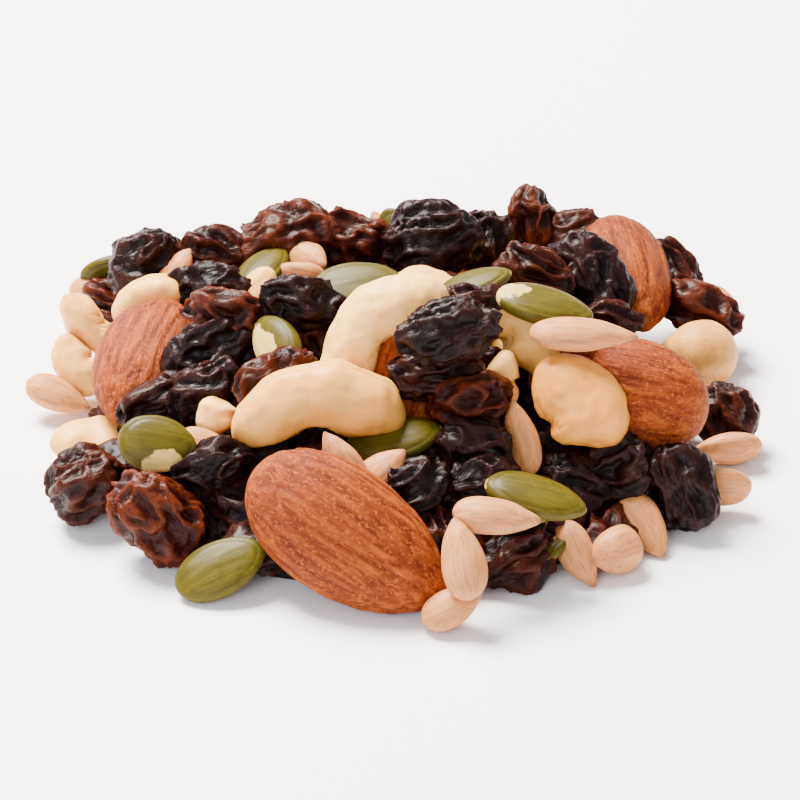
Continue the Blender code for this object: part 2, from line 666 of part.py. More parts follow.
def core_object():
    """The core: a low dome on a flat base."""
    made = bmesh.new()
    top = made.verts.new((0, 0, core_height(0.0, 0.0)))
    widest = (1 - CORE_SINK_MM / HEAP_HEIGHT_MM) ** (1 / SLOPE_POWER)
    rings = []
    for ring in range(1, CORE_RINGS + 1):
        verts = []
        for side in range(CORE_SIDES):
            angle = 2 * math.pi * side / CORE_SIDES
            x, y = math.cos(angle), math.sin(angle)
            reach = widest * ring / CORE_RINGS / outwards(x, y)
            x, y = x * reach, y * reach
            z = 0 if ring == CORE_RINGS else core_height(x, y)
            verts.append(made.verts.new((x, y, z)))
        rings.append(verts)
    for side in range(CORE_SIDES):
        after = (side + 1) % CORE_SIDES
        made.faces.new((top, rings[0][side], rings[0][after]))
        for inner, outer in zip(rings, rings[1:]):
            made.faces.new((inner[side], outer[side], outer[after], inner[after]))
    made.faces.new(rings[-1][::-1])
    bmesh.ops.scale(made, vec=(MM, MM, MM), verts=made.verts)
    mesh = bpy.data.meshes.new("core")
    made.to_mesh(mesh)
    made.free()
    return bpy.data.objects.new(NAME, mesh)


def swell_for(ball, faces):
    """How much wider a ball with few faces is made, to hold as much as a round one."""
    volume = 0
    for face in faces:
        for second, third in zip(face[1:], face[2:]):
            volume += np.dot(ball[face[0]], np.cross(ball[second], ball[third])) / 6
    wider = FACET_SWELL * math.sqrt(4 / 3 * math.pi / abs(volume))
    return np.array([1, wider, wider])


def piece_object(number, one):
    """One piece of the heap with few faces, ready to be fused."""
    kind = KINDS[one.kind]
    ball, faces = unit_ball(*(kind.sides if one.shown else kind.hidden_sides))
    points = one.skin(ball * swell_for(ball, faces)) + one.middle
    points[:, 2] = np.maximum(points[:, 2], LEAST_CLEARANCE_MM)
    return mesh_object(f"{one.kind}_{number}", points, faces)


def keep_largest_shell(mesh):
    """Leaves only the outer skin: sealed hollows are filled and loose scraps dropped."""
    made = bmesh.new()
    made.from_mesh(mesh)
    bmesh.ops.dissolve_degenerate(made, dist=SLIVER_MM * MM, edges=made.edges)
    left, shells = set(made.faces), []
    while left:
        shell, edge_of = [], [left.pop()]
        while edge_of:
            face = edge_of.pop()
            shell.append(face)
            plain = [edge for edge in face.edges if len(edge.link_faces) == 2]
            for other in {other for edge in plain for other in edge.link_faces}:
                if other in left:
                    left.remove(other)
                    edge_of.append(other)
        shells.append(shell)
    shells.sort(key=len)
    for shell in shells[:-1]:
        bmesh.ops.delete(made, geom=shell, context="FACES")
    made.to_mesh(mesh)
    made.free()


def fuse(core, pieces):
    """Joins the pieces to the core in one union, and removes them."""
    group = bpy.data.collections.new("pieces")
    bpy.context.scene.collection.children.link(group)
    for piece in pieces:
        group.objects.link(piece)
    union = core.modifiers.new("union", "BOOLEAN")
    union.operation = "UNION"
    union.operand_type = "COLLECTION"
    union.collection = group
    union.solver = "MANIFOLD"
    bpy.context.view_layer.update()
    graph = bpy.context.evaluated_depsgraph_get()
    fused = bpy.data.meshes.new_from_object(core.evaluated_get(graph))
    core.modifiers.clear()
    core.data = fused
    for piece in pieces:
        bpy.data.objects.remove(piece)
    bpy.data.collections.remove(group)
    keep_largest_shell(core.data)


def finish_surface(heap):
    """One material for the fused heap."""
    material = bpy.data.materials.new(NAME)
    material.use_nodes = True
    shader = material.node_tree.nodes["Principled BSDF"]
    shader.inputs["Base Color"].default_value = COLOUR
    shader.inputs["Roughness"].default_value = ROUGHNESS
    heap.data.materials.clear()
    heap.data.materials.append(material)
    heap.data.shade_smooth()


def main():
    """Clears the scene and builds the heap."""
    for old in list(bpy.data.objects):
        bpy.data.objects.remove(old)
    core = core_object()
    bpy.context.scene.collection.objects.link(core)
    fuse(core, [piece_object(number, one) for number, one in enumerate(laid_out())])
    finish_surface(core)


if __name__ == "__main__":
    main()
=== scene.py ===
"""A loose heap of trail mix on a pale surface: raisins, almonds, cashews, pumpkin seeds, kernels and a round nut.

Every piece is laid by the rules of the CAD model: a seen piece slides along its line of sight until it rests on the
others, and the rest fall into place behind and under them. Then each kind is built as one mesh of real pieces.
"""

import logging
import math
import random
from collections.abc import Sequence
from dataclasses import dataclass, field, replace
from enum import Enum
from functools import cache, cached_property
from typing import Any

import bmesh
import bpy
import numpy as np
from mathutils import Matrix, Vector
from mathutils.kdtree import KDTree


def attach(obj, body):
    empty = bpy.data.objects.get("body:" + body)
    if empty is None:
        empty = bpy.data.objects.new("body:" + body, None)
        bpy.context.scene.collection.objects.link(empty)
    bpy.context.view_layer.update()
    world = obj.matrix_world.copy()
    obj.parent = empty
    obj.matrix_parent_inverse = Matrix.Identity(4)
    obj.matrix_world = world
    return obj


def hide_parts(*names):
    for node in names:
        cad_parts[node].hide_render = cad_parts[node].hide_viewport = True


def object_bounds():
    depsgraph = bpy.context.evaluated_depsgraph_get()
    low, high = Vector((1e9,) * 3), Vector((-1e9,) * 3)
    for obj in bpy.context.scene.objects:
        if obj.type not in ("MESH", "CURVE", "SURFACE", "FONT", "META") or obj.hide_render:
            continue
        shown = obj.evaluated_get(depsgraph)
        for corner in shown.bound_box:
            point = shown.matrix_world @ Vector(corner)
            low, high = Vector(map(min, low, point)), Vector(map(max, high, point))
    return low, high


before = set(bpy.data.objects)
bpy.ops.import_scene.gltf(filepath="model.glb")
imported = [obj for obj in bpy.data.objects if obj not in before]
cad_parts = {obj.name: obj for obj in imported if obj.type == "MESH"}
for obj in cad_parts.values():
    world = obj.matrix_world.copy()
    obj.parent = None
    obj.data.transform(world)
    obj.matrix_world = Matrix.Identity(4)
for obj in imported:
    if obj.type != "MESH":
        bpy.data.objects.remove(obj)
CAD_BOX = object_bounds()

MM = 0.001
NODE = "trail_mix"
LOG = logging.getLogger(NODE)
Triple = tuple[float, float, float]
Colour = str | tuple[str, str]


class Kind(Enum):
    """The kinds of piece in the mix."""

    RAISIN = "raisin"
    ALMOND = "almond"
    CASHEW = "cashew"
    PUMPKIN_SEED = "pumpkin_seed"
    SUNFLOWER_KERNEL = "sunflower_kernel"
    ROUND_NUT = "round_nut"


@dataclass(frozen=True)
class Height:
    """A height in mm at which a piece lies."""

    mm: float


ON_FLOOR = None
BEND = 1.9
MIDDLING_TONE = 0.35
BROWN_FROM = 0.36
FAR_MM = 50.0


@dataclass(frozen=True)
class SeenPiece:
    """One piece that the picture shows, in mm and degrees, its bend in radians.

    at is how far right of and above the heap's middle it shows; turn is its pointed end's angle in the picture, lean
    how far that end leans to the viewer, and lift how far it lies above the mound, or its Height, or ON_FLOOR. tone
    runs from 0, dark or pale, to 1, brown. peel is the middle of a peeled patch on its ball and the patch's reach.
    """

    kind: Kind
    at: tuple[float, float]
    size: Triple
    turn: float
    lean: float
    roll: float
    lift: float | Height | None
    bend: float = BEND
    tone: float = MIDDLING_TONE
    peel: Triple | None = None


# From the ones furthest behind to the ones in front.
SEEN_PIECES = [
    SeenPiece(Kind.PUMPKIN_SEED, (2.0, 25.8), (10, 6, 2.6), 125, 0, 10, Height(12)),
    SeenPiece(Kind.SUNFLOWER_KERNEL, (-0.4, 25.6), (9, 4.6, 3.2), 112, 0, 0, Height(11.5)),
    SeenPiece(Kind.RAISIN, (-4.5, 26.1), (9.6, 7, 7), -18, 0, 0, Height(12.4), tone=0.7),
    SeenPiece(Kind.RAISIN, (-11.8, 26.5), (13.4, 8.4, 8), 16, 0, 0, Height(12.8), tone=0.75),
    SeenPiece(Kind.RAISIN, (11.6, 26.5), (8.5, 7.5, 7), 60, 0, 0, Height(12.2), tone=0.15),
    SeenPiece(Kind.RAISIN, (16.5, 27.8), (9.6, 5.6, 5.4), 84, 10, 0, Height(13), tone=0.7),
    SeenPiece(Kind.RAISIN, (21.9, 26.4), (9.5, 6.6, 6), 4, 0, 0, Height(11.6), tone=0.42),
    SeenPiece(Kind.RAISIN, (4.8, 26.2), (12, 9.4, 8), 12, 0, 0, Height(15), tone=0.08),
    SeenPiece(Kind.RAISIN, (32.9, 21.9), (9, 7, 7), -62, 0, 0, Height(7.6), tone=0.42),
    SeenPiece(Kind.ALMOND, (28.0, 22.0), (18.6, 11, 8), -76, 40, 28, Height(10.4), tone=0.4),
    SeenPiece(Kind.RAISIN, (23.6, 21.4), (11.2, 8.6, 7.5), -66, 0, 0, 2, tone=0.08),
    SeenPiece(Kind.RAISIN, (16.6, 21.5), (9.6, 7, 6), -24, 0, 0, 1, tone=0.42),
    SeenPiece(Kind.RAISIN, (-20.5, 24.5), (9.6, 6, 6), -8, 0, 0, Height(11.6), tone=0.42),
    SeenPiece(Kind.SUNFLOWER_KERNEL, (-34.2, 20.4), (8.5, 4.6, 3), 8, 0, 50, Height(4.4)),
    SeenPiece(Kind.PUMPKIN_SEED, (-32.7, 21.9), (9, 6, 2.6), 184, 0, 45, Height(6)),
    SeenPiece(Kind.RAISIN, (-32.7, 18.7), (8.6, 5.6, 5), -14, 0, 0, Height(4), tone=0.7),
    SeenPiece(Kind.RAISIN, (-28.7, 23.3), (9.6, 8, 7.6), 20, 0, 0, Height(10.6), tone=0.15),
    SeenPiece(Kind.SUNFLOWER_KERNEL, (-25.5, 21.9), (8.5, 4.4, 3), 58, 0, 30, Height(10.4)),
    SeenPiece(Kind.SUNFLOWER_KERNEL, (-10.8, 21.5), (8.5, 5, 3), 170, 0, 40, 0),
    SeenPiece(Kind.SUNFLOWER_KERNEL, (-9.4, 24.1), (6.6, 4, 3), -28, 45, 20, Height(12.6)),
    SeenPiece(Kind.PUMPKIN_SEED, (-14.9, 22.6), (9.2, 5.8, 3), 52, -38, 40, Height(11.6)),
    SeenPiece(Kind.CASHEW, (4.7, 17.8), (15, 8, 6.5), -14, 0, 20, 0, tone=0.35),
    SeenPiece(Kind.PUMPKIN_SEED, (-4.4, 21.3), (11.5, 7.4, 2.6), 9, 0, 35, 1),
    SeenPiece(Kind.PUMPKIN_SEED, (9.9, 20.8), (9.4, 5.6, 2.6), 19, 0, 58, 1),
    SeenPiece(Kind.CASHEW, (-15.1, 19.2), (8.5, 5, 4.5), 62, 0, 0, -1, tone=0.4),
    SeenPiece(Kind.SUNFLOWER_KERNEL, (-14.0, 17.6), (8.6, 5.0, 3.8), -70, 20, 0, 0),
    SeenPiece(Kind.RAISIN, (-9.2, 13.9), (9, 6.6, 6), -62, 0, 0, 0, tone=0.3),
    SeenPiece(Kind.RAISIN, (-9.8, 18.8), (10.4, 6.6, 6), -14, 0, 0, 2, tone=0.08),
    SeenPiece(Kind.RAISIN, (-21.2, 20.6), (9.8, 5.6, 6), -2, 0, 0, 1, tone=0.08),
    SeenPiece(Kind.RAISIN, (2.5, 14.4), (9, 6.4, 5), 30, 0, 0, -1, tone=0.42),
    SeenPiece(Kind.ALMOND, (1.6, 10.6), (20, 12, 8), 80, 0, 20, -4, tone=0.5),
    SeenPiece(Kind.CASHEW, (-0.4, 14.7), (19.6, 7.6, 7.2), 42, 0, 0, 3, 2.3, tone=0.15),
    SeenPiece(Kind.RAISIN, (9.4, 18.4), (8, 5.4, 5), 8, 0, 0, 0, tone=0.2),
    SeenPiece(Kind.CASHEW, (-28.1, 18.7), (11.5, 4.8, 5), 22, 0, 15, 0, tone=0.45),
    SeenPiece(Kind.CASHEW, (-33.6, 16.0), (15, 5.2, 5.2), 146, 0, 30, 0, 1.6, tone=0.45),
    SeenPiece(Kind.CASHEW, (-36.4, 11.1), (9.8, 5.8, 5.4), -54, 0, 180, ON_FLOOR, 2.2, tone=0.5),
    SeenPiece(Kind.ALMOND, (-28.9, 11.5), (20, 12, 9), -110, 42, -22, 1, tone=0.45),
    SeenPiece(Kind.RAISIN, (-18.7, 17.4), (12.2, 6, 6), -12, 0, 0, 1, tone=0.7),
    SeenPiece(Kind.RAISIN, (-20.8, 12.7), (11.8, 8.4, 7), 18, 0, 0, 2, tone=0.08),
    SeenPiece(Kind.PUMPKIN_SEED, (-13.4, 13.9), (9, 5.8, 3), 128, -40, 20, 1, peel=(0.25, 0.55, 0.75)),
    SeenPiece(Kind.CASHEW, (14.8, 15.1), (13.5, 7.4, 6.6), -52, 0, 25, 0, tone=0.4),
    SeenPiece(Kind.CASHEW, (14.0, 9.5), (8.5, 4.6, 4.4), 84, 0, 0, -2, tone=0.3),
    SeenPiece(Kind.RAISIN, (25.4, 16.7), (8, 4.6, 5), -8, 0, 0, 0, tone=0.25),
    SeenPiece(Kind.PUMPKIN_SEED, (18.2, 18.4), (11.4, 6.4, 2.8), -13, 0, 52, 3, peel=(-0.95, 0.1, 0.5)),
    SeenPiece(Kind.SUNFLOWER_KERNEL, (39.4, 17.2), (7, 4, 3), -50, 0, 30, 1),
    SeenPiece(Kind.RAISIN, (36.8, 16.9), (10.2, 7, 6.5), -20, 0, 0, 1, tone=0.7),
    SeenPiece(Kind.ROUND_NUT, (36.7, 12.7), (9, 8.4, 8.4), 172, 0, 0, ON_FLOOR),
    SeenPiece(Kind.RAISIN, (39.2, 6.0), (8.2, 7.4, 7), -52, 0, 0, ON_FLOOR, tone=0.42),
    SeenPiece(Kind.ALMOND, (26.8, 8.0), (21.4, 13.4, 9.4), 168, -12, 10, 1, tone=0.55),
    SeenPiece(Kind.CASHEW, (21.4, 6.5), (17, 9.8, 8.8), -50, 0, 0, 3, 1.2, tone=0.95),
    SeenPiece(Kind.SUNFLOWER_KERNEL, (23.2, 15.1), (12.6, 4.4, 3), -2, 0, 40, 4),
    SeenPiece(Kind.RAISIN, (-21.8, 8.2), (9.4, 7.6, 6), 30, 0, 0, -2, tone=0.12),
    SeenPiece(Kind.RAISIN, (-27.1, 6.8), (9.6, 6, 6), 24, 0, 0, 0, tone=0.25),
    SeenPiece(Kind.CASHEW, (-20.0, 5.4), (7.2, 5.2, 4.6), 96, 0, 10, 1, 0.9, tone=0.25),
    SeenPiece(Kind.RAISIN, (-13.9, 10.0), (10, 5.2, 5.5), 27, 0, 0, 1, tone=0.6),
    SeenPiece(Kind.RAISIN, (4.9, 10.6), (10.6, 6.6, 6), 4, 0, 0, 0, tone=0.2),
    SeenPiece(Kind.RAISIN, (8.6, 15.3), (10.8, 7.6, 7), 18, 0, 0, 3, tone=0.08),
    SeenPiece(Kind.RAISIN, (9.2, 7.5), (9.8, 5.4, 5.5), 12, 0, 0, 2, tone=0.85),
    SeenPiece(Kind.SUNFLOWER_KERNEL, (15.4, 2.8), (9.2, 4.2, 3.2), 103, 0, 18, 0),
    SeenPiece(Kind.PUMPKIN_SEED, (0.4, 2.5), (11.6, 6.6, 2.8), 13, 0, 45, 0),
    SeenPiece(Kind.CASHEW, (-8.5, 5.2), (22.4, 8.4, 8), 7, 0, -30, 3, 2.2, tone=0.7),
    SeenPiece(Kind.RAISIN, (27.1, -0.9), (9.5, 7.4, 7), 20, 0, 0, -4, tone=0.12),
    SeenPiece(Kind.RAISIN, (10.0, 1.4), (8.6, 6.8, 6), -22, 0, 0, 0, tone=0.08),
    SeenPiece(Kind.RAISIN, (10.8, -2.6), (9, 5.6, 5.5), 12, 0, 0, -1, tone=0.08),
    SeenPiece(Kind.RAISIN, (2.8, -3.1), (9, 6, 5.5), 26, 0, 0, -1, tone=0.08),
    SeenPiece(Kind.SUNFLOWER_KERNEL, (-1.4, -1.5), (8.4, 4.6, 3), 42, 0, 20, 0),
    SeenPiece(Kind.SUNFLOWER_KERNEL, (-5.4, -0.2), (8.6, 4.4, 3), 122, 0, 30, 0),
    SeenPiece(Kind.SUNFLOWER_KERNEL, (-21.4, 1.3), (8, 4.8, 3), -22, 0, 20, -1),
    SeenPiece(Kind.CASHEW, (-35.3, 1.8), (12.6, 6.6, 5), 4, 0, 42, ON_FLOOR, 1.2, tone=0.5),
    SeenPiece(Kind.SUNFLOWER_KERNEL, (-39.6, 7.0), (8.4, 4.8, 3.2), -22, 0, 48, ON_FLOOR),
    SeenPiece(Kind.PUMPKIN_SEED, (-27.3, 2.1), (9.2, 6.6, 2.8), -10, 0, 12, 1, peel=(0.3, -0.85, 0.55)),
    SeenPiece(Kind.RAISIN, (-20.5, -0.7), (9.6, 6.4, 6), 20, 0, 0, -1, tone=0.08),
    SeenPiece(Kind.RAISIN, (-19.4, -6.0), (8.6, 7.4, 6.5), -76, 0, 0, ON_FLOOR, tone=0.08),
    SeenPiece(Kind.RAISIN, (-35.8, -2.5), (9.4, 8.4, 7.5), 28, 0, 0, ON_FLOOR, tone=0.42),
    SeenPiece(Kind.RAISIN, (-27.4, -6.6), (11.4, 9.6, 8), -48, 0, 0, ON_FLOOR, tone=1.0),
    SeenPiece(Kind.RAISIN, (22.2, -3.5), (9.6, 8, 7), -20, 0, 0, ON_FLOOR, tone=0.08),
    SeenPiece(Kind.SUNFLOWER_KERNEL, (29.1, -3.5), (7.5, 4.8, 3.2), 60, 0, 0, ON_FLOOR),
    SeenPiece(Kind.SUNFLOWER_KERNEL, (39.6, 1.6), (8.6, 4.4, 3.2), 186, 0, 48, ON_FLOOR),
    SeenPiece(Kind.SUNFLOWER_KERNEL, (38.7, -2.4), (8.8, 5, 3.2), 178, 0, 40, ON_FLOOR),
    SeenPiece(Kind.RAISIN, (34.4, -2.9), (10.6, 7.4, 7), -74, 0, 0, ON_FLOOR, tone=0.08),
    SeenPiece(Kind.SUNFLOWER_KERNEL, (30.0, -7.6), (8.8, 4.6, 3.2), -58, 20, 0, ON_FLOOR),
    SeenPiece(Kind.SUNFLOWER_KERNEL, (22.0, -10.8), (8.8, 4.2, 3.2), -62, 20, 0, ON_FLOOR),
    SeenPiece(Kind.SUNFLOWER_KERNEL, (26.5, -10.5), (7, 5.4, 4.4), -160, 30, 0, ON_FLOOR),
    SeenPiece(Kind.PUMPKIN_SEED, (16.9, -11.1), (9, 5.6, 2.4), 28, 0, 62, ON_FLOOR, peel=(0.2, 0.7, 0.8)),
    SeenPiece(Kind.RAISIN, (6.1, -9.5), (8.4, 6, 5.5), -62, 0, 0, ON_FLOOR, tone=0.6),
    SeenPiece(Kind.RAISIN, (14.0, -10.9), (9.4, 5.6, 5.5), 32, 0, 0, ON_FLOOR, tone=0.3),
    SeenPiece(Kind.PUMPKIN_SEED, (17.2, -4.1), (11.7, 6.2, 3), -15, 0, 48, 0),
    SeenPiece(Kind.PUMPKIN_SEED, (-19.9, -12.5), (11, 6.8, 2.8), 26, 0, 28, ON_FLOOR),
    SeenPiece(Kind.ALMOND, (-4.8, -8.7), (26, 14.2, 9), -34, 8, 0, ON_FLOOR, tone=0.6),
    SeenPiece(Kind.SUNFLOWER_KERNEL, (8.0, -17.9), (7.6, 4.6, 3.4), 28, 0, 40, ON_FLOOR),
    SeenPiece(Kind.SUNFLOWER_KERNEL, (12.6, -6.4), (10, 4.6, 3.4), -6, 0, 40, 0),
    SeenPiece(Kind.SUNFLOWER_KERNEL, (9.1, -12.2), (9.6, 5, 3.4), 101, -14, 0, 1),
]


@dataclass(frozen=True)
class Share:
    """How many pieces of a kind fill what the picture doesn't show, with their size in mm."""

    kind: Kind
    tries: int
    most: int
    size: Triple


MIX = [
    Share(Kind.ALMOND, 300, 4, (21, 12.6, 8.4)),
    Share(Kind.CASHEW, 500, 8, (16, 7.4, 6.6)),
    Share(Kind.RAISIN, 1500, 27, (9.8, 7.2, 6.2)),
    Share(Kind.PUMPKIN_SEED, 400, 7, (10.4, 6.2, 2.7)),
    Share(Kind.SUNFLOWER_KERNEL, 300, 6, (8.8, 4.7, 3.2)),
]


@dataclass(frozen=True)
class Form:
    """The plain form of each kind: a ball of radius 1, its poles on X, shaped to a size in mm.

    Each kind's method has the name of the kind, and its numbers are shares of the half length, width or thickness.
    bend is in radians, and draw gives a raisin its own lumps.
    """

    ball: np.ndarray
    size: Sequence[float]
    draw: random.Random
    bend: float

    def stretched(self, taper: np.ndarray, flatten: float = 1.0) -> np.ndarray:
        """Stretches the ball to the size.

        Args:
            taper: Factor on the width and thickness at each point.
            flatten: Power on the thickness, under 1 for flat sides.

        Returns:
            The points in mm.
        """
        x, y, z = self.ball.T
        flat = np.sign(z) * np.abs(z) ** flatten
        return np.stack([x, y * taper, flat * taper], axis=1) * np.array(self.size) / 2

    def almond(self) -> np.ndarray:
        """Shapes a drop with a blunt end and a short point."""
        x = self.ball[:, 0]
        return self.stretched((1.02 - 0.14 * x) * (1 - 0.34 * np.clip(x, 0, 1) ** 4))

    def pumpkin_seed(self) -> np.ndarray:
        """Shapes a flat oval that narrows to its pointed end."""
        x = self.ball[:, 0]
        return self.stretched(1 - 0.1 * x - 0.12 * np.clip(x, 0, 1) ** 3, 0.8)

    def sunflower_kernel(self) -> np.ndarray:
        """Shapes a drop, round at one end and sharp at the other."""
        x = self.ball[:, 0]
        return self.stretched((1 - 0.26 * x) * (1 - 0.42 * np.clip(x, 0, 1) ** 3))

    def round_nut(self) -> np.ndarray:
        """Shapes a ball with a small nub at its end.

        Returns:
            The points in mm.
        """
        nub = np.clip((self.ball[:, 0] - 0.8) / 0.2, 0, 1)
        points = self.stretched(1 - 0.12 * nub)
        points[:, 0] *= 1 + 0.12 * nub
        return points

    def raisin(self) -> np.ndarray:
        """Shapes an oval with shallow lumps of three sizes, drawn anew for each raisin.

        Returns:
            The points in mm.
        """
        lumps = np.zeros(len(self.ball))
        for pitch, depth in ((1.7, 0.07), (2.6, 0.06), (3.9, 0.04)):
            way = np.array([self.draw.gauss(0, 1) for _ in range(3)])
            way *= pitch / np.linalg.norm(way)
            lumps += depth * np.sin(self.ball @ way * 2 + self.draw.uniform(0, 2 * math.pi))
        squared = np.sign(self.ball) * np.abs(self.ball) ** 0.9
        return squared * (1 + lumps)[:, None] * np.array(self.size) / 2

    def cashew(self) -> np.ndarray:
        """Shapes a bean bent in its width, its hollowed side towards -Y.

        Returns:
            The points in mm.
        """
        x, y, z = self.ball.T
        length, width, thick = self.size
        blunt = np.sqrt(np.maximum(1 - np.abs(x) ** 2.8, 0) / np.maximum(1 - x**2, 1e-4))
        blunt = np.minimum(blunt, 1.18) * (1 + 0.1 * x)
        radius = (length - 0.55 * width) / (2 * math.sin(self.bend / 2))
        angle = x * self.bend / 2
        reach = radius + y * blunt * width / 2
        sag = radius * (1 + math.cos(self.bend / 2)) / 2
        return np.stack([reach * np.sin(angle), reach * np.cos(angle) - sag, z * blunt * thick / 2], axis=1)


@cache
def layout_ball() -> np.ndarray:
    """Makes the ball whose points stand for a skin while the pieces are laid.

    Returns:
        Its points, the poles on X.
    """
    made = bmesh.new()
    bmesh.ops.create_uvsphere(made, u_segments=36, v_segments=26, radius=1)
    bmesh.ops.rotate(made, verts=made.verts, matrix=Matrix.Rotation(math.pi / 2, 3, "Y"))
    points = np.array([v.co for v in made.verts])
    made.free()
    return points


@dataclass(eq=False)
class Laid:
    """One piece with its place in the heap, in mm."""

    kind: Kind
    size: Sequence[float]
    seed: int
    axes: np.ndarray
    bend: float = BEND
    shown: bool = True
    tone: float = MIDDLING_TONE
    peel: Triple | None = None
    middle: np.ndarray = field(default_factory=lambda: np.zeros(3))

    def __post_init__(self) -> None:
        """Works out the skin about the middle and its radii."""
        self.offsets = self.form(layout_ball()) @ self.axes.T
        self.radii = np.ptp(self.offsets @ self.axes, axis=0) / 2

    def form(self, ball: np.ndarray) -> np.ndarray:
        """Shapes the points of a ball of radius 1 into this piece, in its own axes and in mm."""
        plain = Form(ball, self.size, random.Random(self.seed), self.bend)
        return getattr(plain, self.kind.value)()

    def points(self) -> np.ndarray:
        """Gives closely set points of the skin in their places."""
        return self.offsets + self.middle


@dataclass(frozen=True)
class PictureView:
    """Where the picture was taken from, and the grid for telling what lies behind what."""

    elevation: float = math.radians(30)
    distance: float = 480
    middle: tuple[float, float] = (1.2, 7.3)
    cell: float = 0.47
    cells: int = 200

    @cached_property
    def right(self) -> np.ndarray:
        """The viewer's right."""
        return np.array([1.0, 0.0, 0.0])

    @cached_property
    def up(self) -> np.ndarray:
        """The viewer's up."""
        return np.array([0.0, math.sin(self.elevation), math.cos(self.elevation)])

    @cached_property
    def towards(self) -> np.ndarray:
        """The way from the heap to the viewer."""
        return np.array([0.0, -math.cos(self.elevation), math.sin(self.elevation)])

    @cached_property
    def eye(self) -> np.ndarray:
        """The eye's place in mm."""
        return self.towards * self.distance + self.right * self.middle[0] + self.up * self.middle[1]

    def sight(self, at: tuple[float, float]) -> np.ndarray:
        """Gives the way from the eye to a place in the picture, 1 mm long in depth."""
        across, above = np.subtract(at, self.middle) / self.distance
        return self.right * across + self.up * above - self.towards

    def turned(self, piece: SeenPiece) -> np.ndarray:
        """Works out a piece's own axes from its turn, lean and roll.

        Args:
            piece: The seen piece.

        Returns:
            Its axes as columns.
        """
        turn, lean, roll = (math.radians(a) for a in (piece.turn, piece.lean, piece.roll))
        along = self.right * math.cos(turn) + self.up * math.sin(turn)
        along = along * math.cos(lean) + self.towards * math.sin(lean)
        face = self.towards - along * (self.towards @ along)
        face /= np.linalg.norm(face)
        side = np.cross(face, along)
        face = face * math.cos(roll) + side * math.sin(roll)
        return np.stack([along, np.cross(face, along), face], axis=1)

    def span(self, one: Laid) -> tuple[np.ndarray, np.ndarray, np.ndarray]:
        """Finds the picture cells that a piece covers.

        Args:
            one: The piece in its place.

        Returns:
            The cells, and the piece's nearest and furthest depth in each.
        """
        rays = one.points() - self.eye
        depth = -(rays @ self.towards)
        across = self.distance * (rays @ self.right) / depth / self.cell
        above = self.distance * (rays @ self.up) / depth / self.cell
        column = np.clip(np.floor(across + self.cells / 2), 0, self.cells - 1)
        row = np.clip(np.floor(self.cells / 2 - above), 0, self.cells - 1)
        cell = (row * self.cells + column).astype(int)
        order = np.argsort(cell)
        cell, depth = cell[order], depth[order]
        found, start = np.unique(cell, return_index=True)
        return found, np.minimum.reduceat(depth, start), np.maximum.reduceat(depth, start)


@dataclass(frozen=True)
class Mound:
    """The mound that the middles of the outermost pieces lie on, and the core under it, in mm."""

    half_width: float = 42
    front_depth: float = 36
    back_depth: float = 40
    height: float = 19
    footprint_power: float = 2.2
    slope_power: float = 2.4
    core_sink: float = 5.0
    core_share: float = 0.8

    def outwards(self, x: np.ndarray, y: np.ndarray) -> np.ndarray:
        """Tells how far out points of the plan are.

        Args:
            x: Across, in mm.
            y: To the back, in mm.

        Returns:
            0 at the middle and 1 on the mound's edge.
        """
        depth = np.where(y > 0, self.back_depth, self.front_depth)
        across = np.abs(x / self.half_width) ** self.footprint_power
        return (across + np.abs(y / depth) ** self.footprint_power) ** (1 / self.footprint_power)

    def top(self, x: np.ndarray, y: np.ndarray) -> np.ndarray:
        """Gives the mound's height over points of the plan, in mm."""
        return self.height * (1 - self.outwards(x, y) ** self.slope_power)

    def core(self, x: np.ndarray, y: np.ndarray) -> np.ndarray:
        """Gives the core's height over points of the plan, in mm."""
        return self.core_share * (self.top(x, y) - self.core_sink)


class Cover:
    """What the seen pieces cover in the picture."""

    def __init__(self, view: PictureView, seen: list[Laid], share: float) -> None:
        """Finds the nearest depth of the seen pieces in each cell.

        Args:
            view: The picture's view.
            seen: The seen pieces in their places.
            share: The most of a hidden piece that may show.
        """
        self.view, self.share = view, share
        self.near = np.full(view.cells**2, np.inf)
        for one in seen:
            cell, nearest, _ = view.span(one)
            np.minimum.at(self.near, cell, nearest)
        covered = np.isfinite(self.near).reshape(view.cells, view.cells)
        within = np.ones_like(covered)
        for axis in (0, 1):
            before = np.maximum.accumulate(covered, axis)
            after = np.maximum.accumulate(np.flip(covered, axis), axis)
            within &= before & np.flip(after, axis)
        self.within = within.ravel()

    def in_the_way(self, one: Laid) -> bool:
        """Tells whether a piece hides a seen one, sticks out beside the heap, or is pale in a gap.

        Args:
            one: The piece in its place.

        Returns:
            Whether it has to go elsewhere.
        """
        cell, nearest, _ = self.view.span(one)
        shows = nearest < self.near[cell]
        if one.kind is Kind.RAISIN:
            shows &= np.isfinite(self.near[cell]) | ~self.within[cell]
        return shows.mean() > self.share


def first_meeting(points: np.ndarray, way: np.ndarray) -> float:
    """Tells how far points move along a way until one meets the ball of radius 1 about the origin.

    Args:
        points: The points.
        way: The way, the same for all points or one for each.

    Returns:
        The distance in mm, FAR_MM at most.
    """
    speed = (way**2).sum(axis=-1)
    towards = (points * way).sum(axis=-1)
    apart = (points**2).sum(axis=-1) - 1
    under_root = towards**2 - speed * apart
    meets = (under_root > 0) & (towards < 0)
    far = (-towards - np.sqrt(np.maximum(under_root, 0))) / speed
    return np.maximum(far[meets], 0).min(initial=FAR_MM)


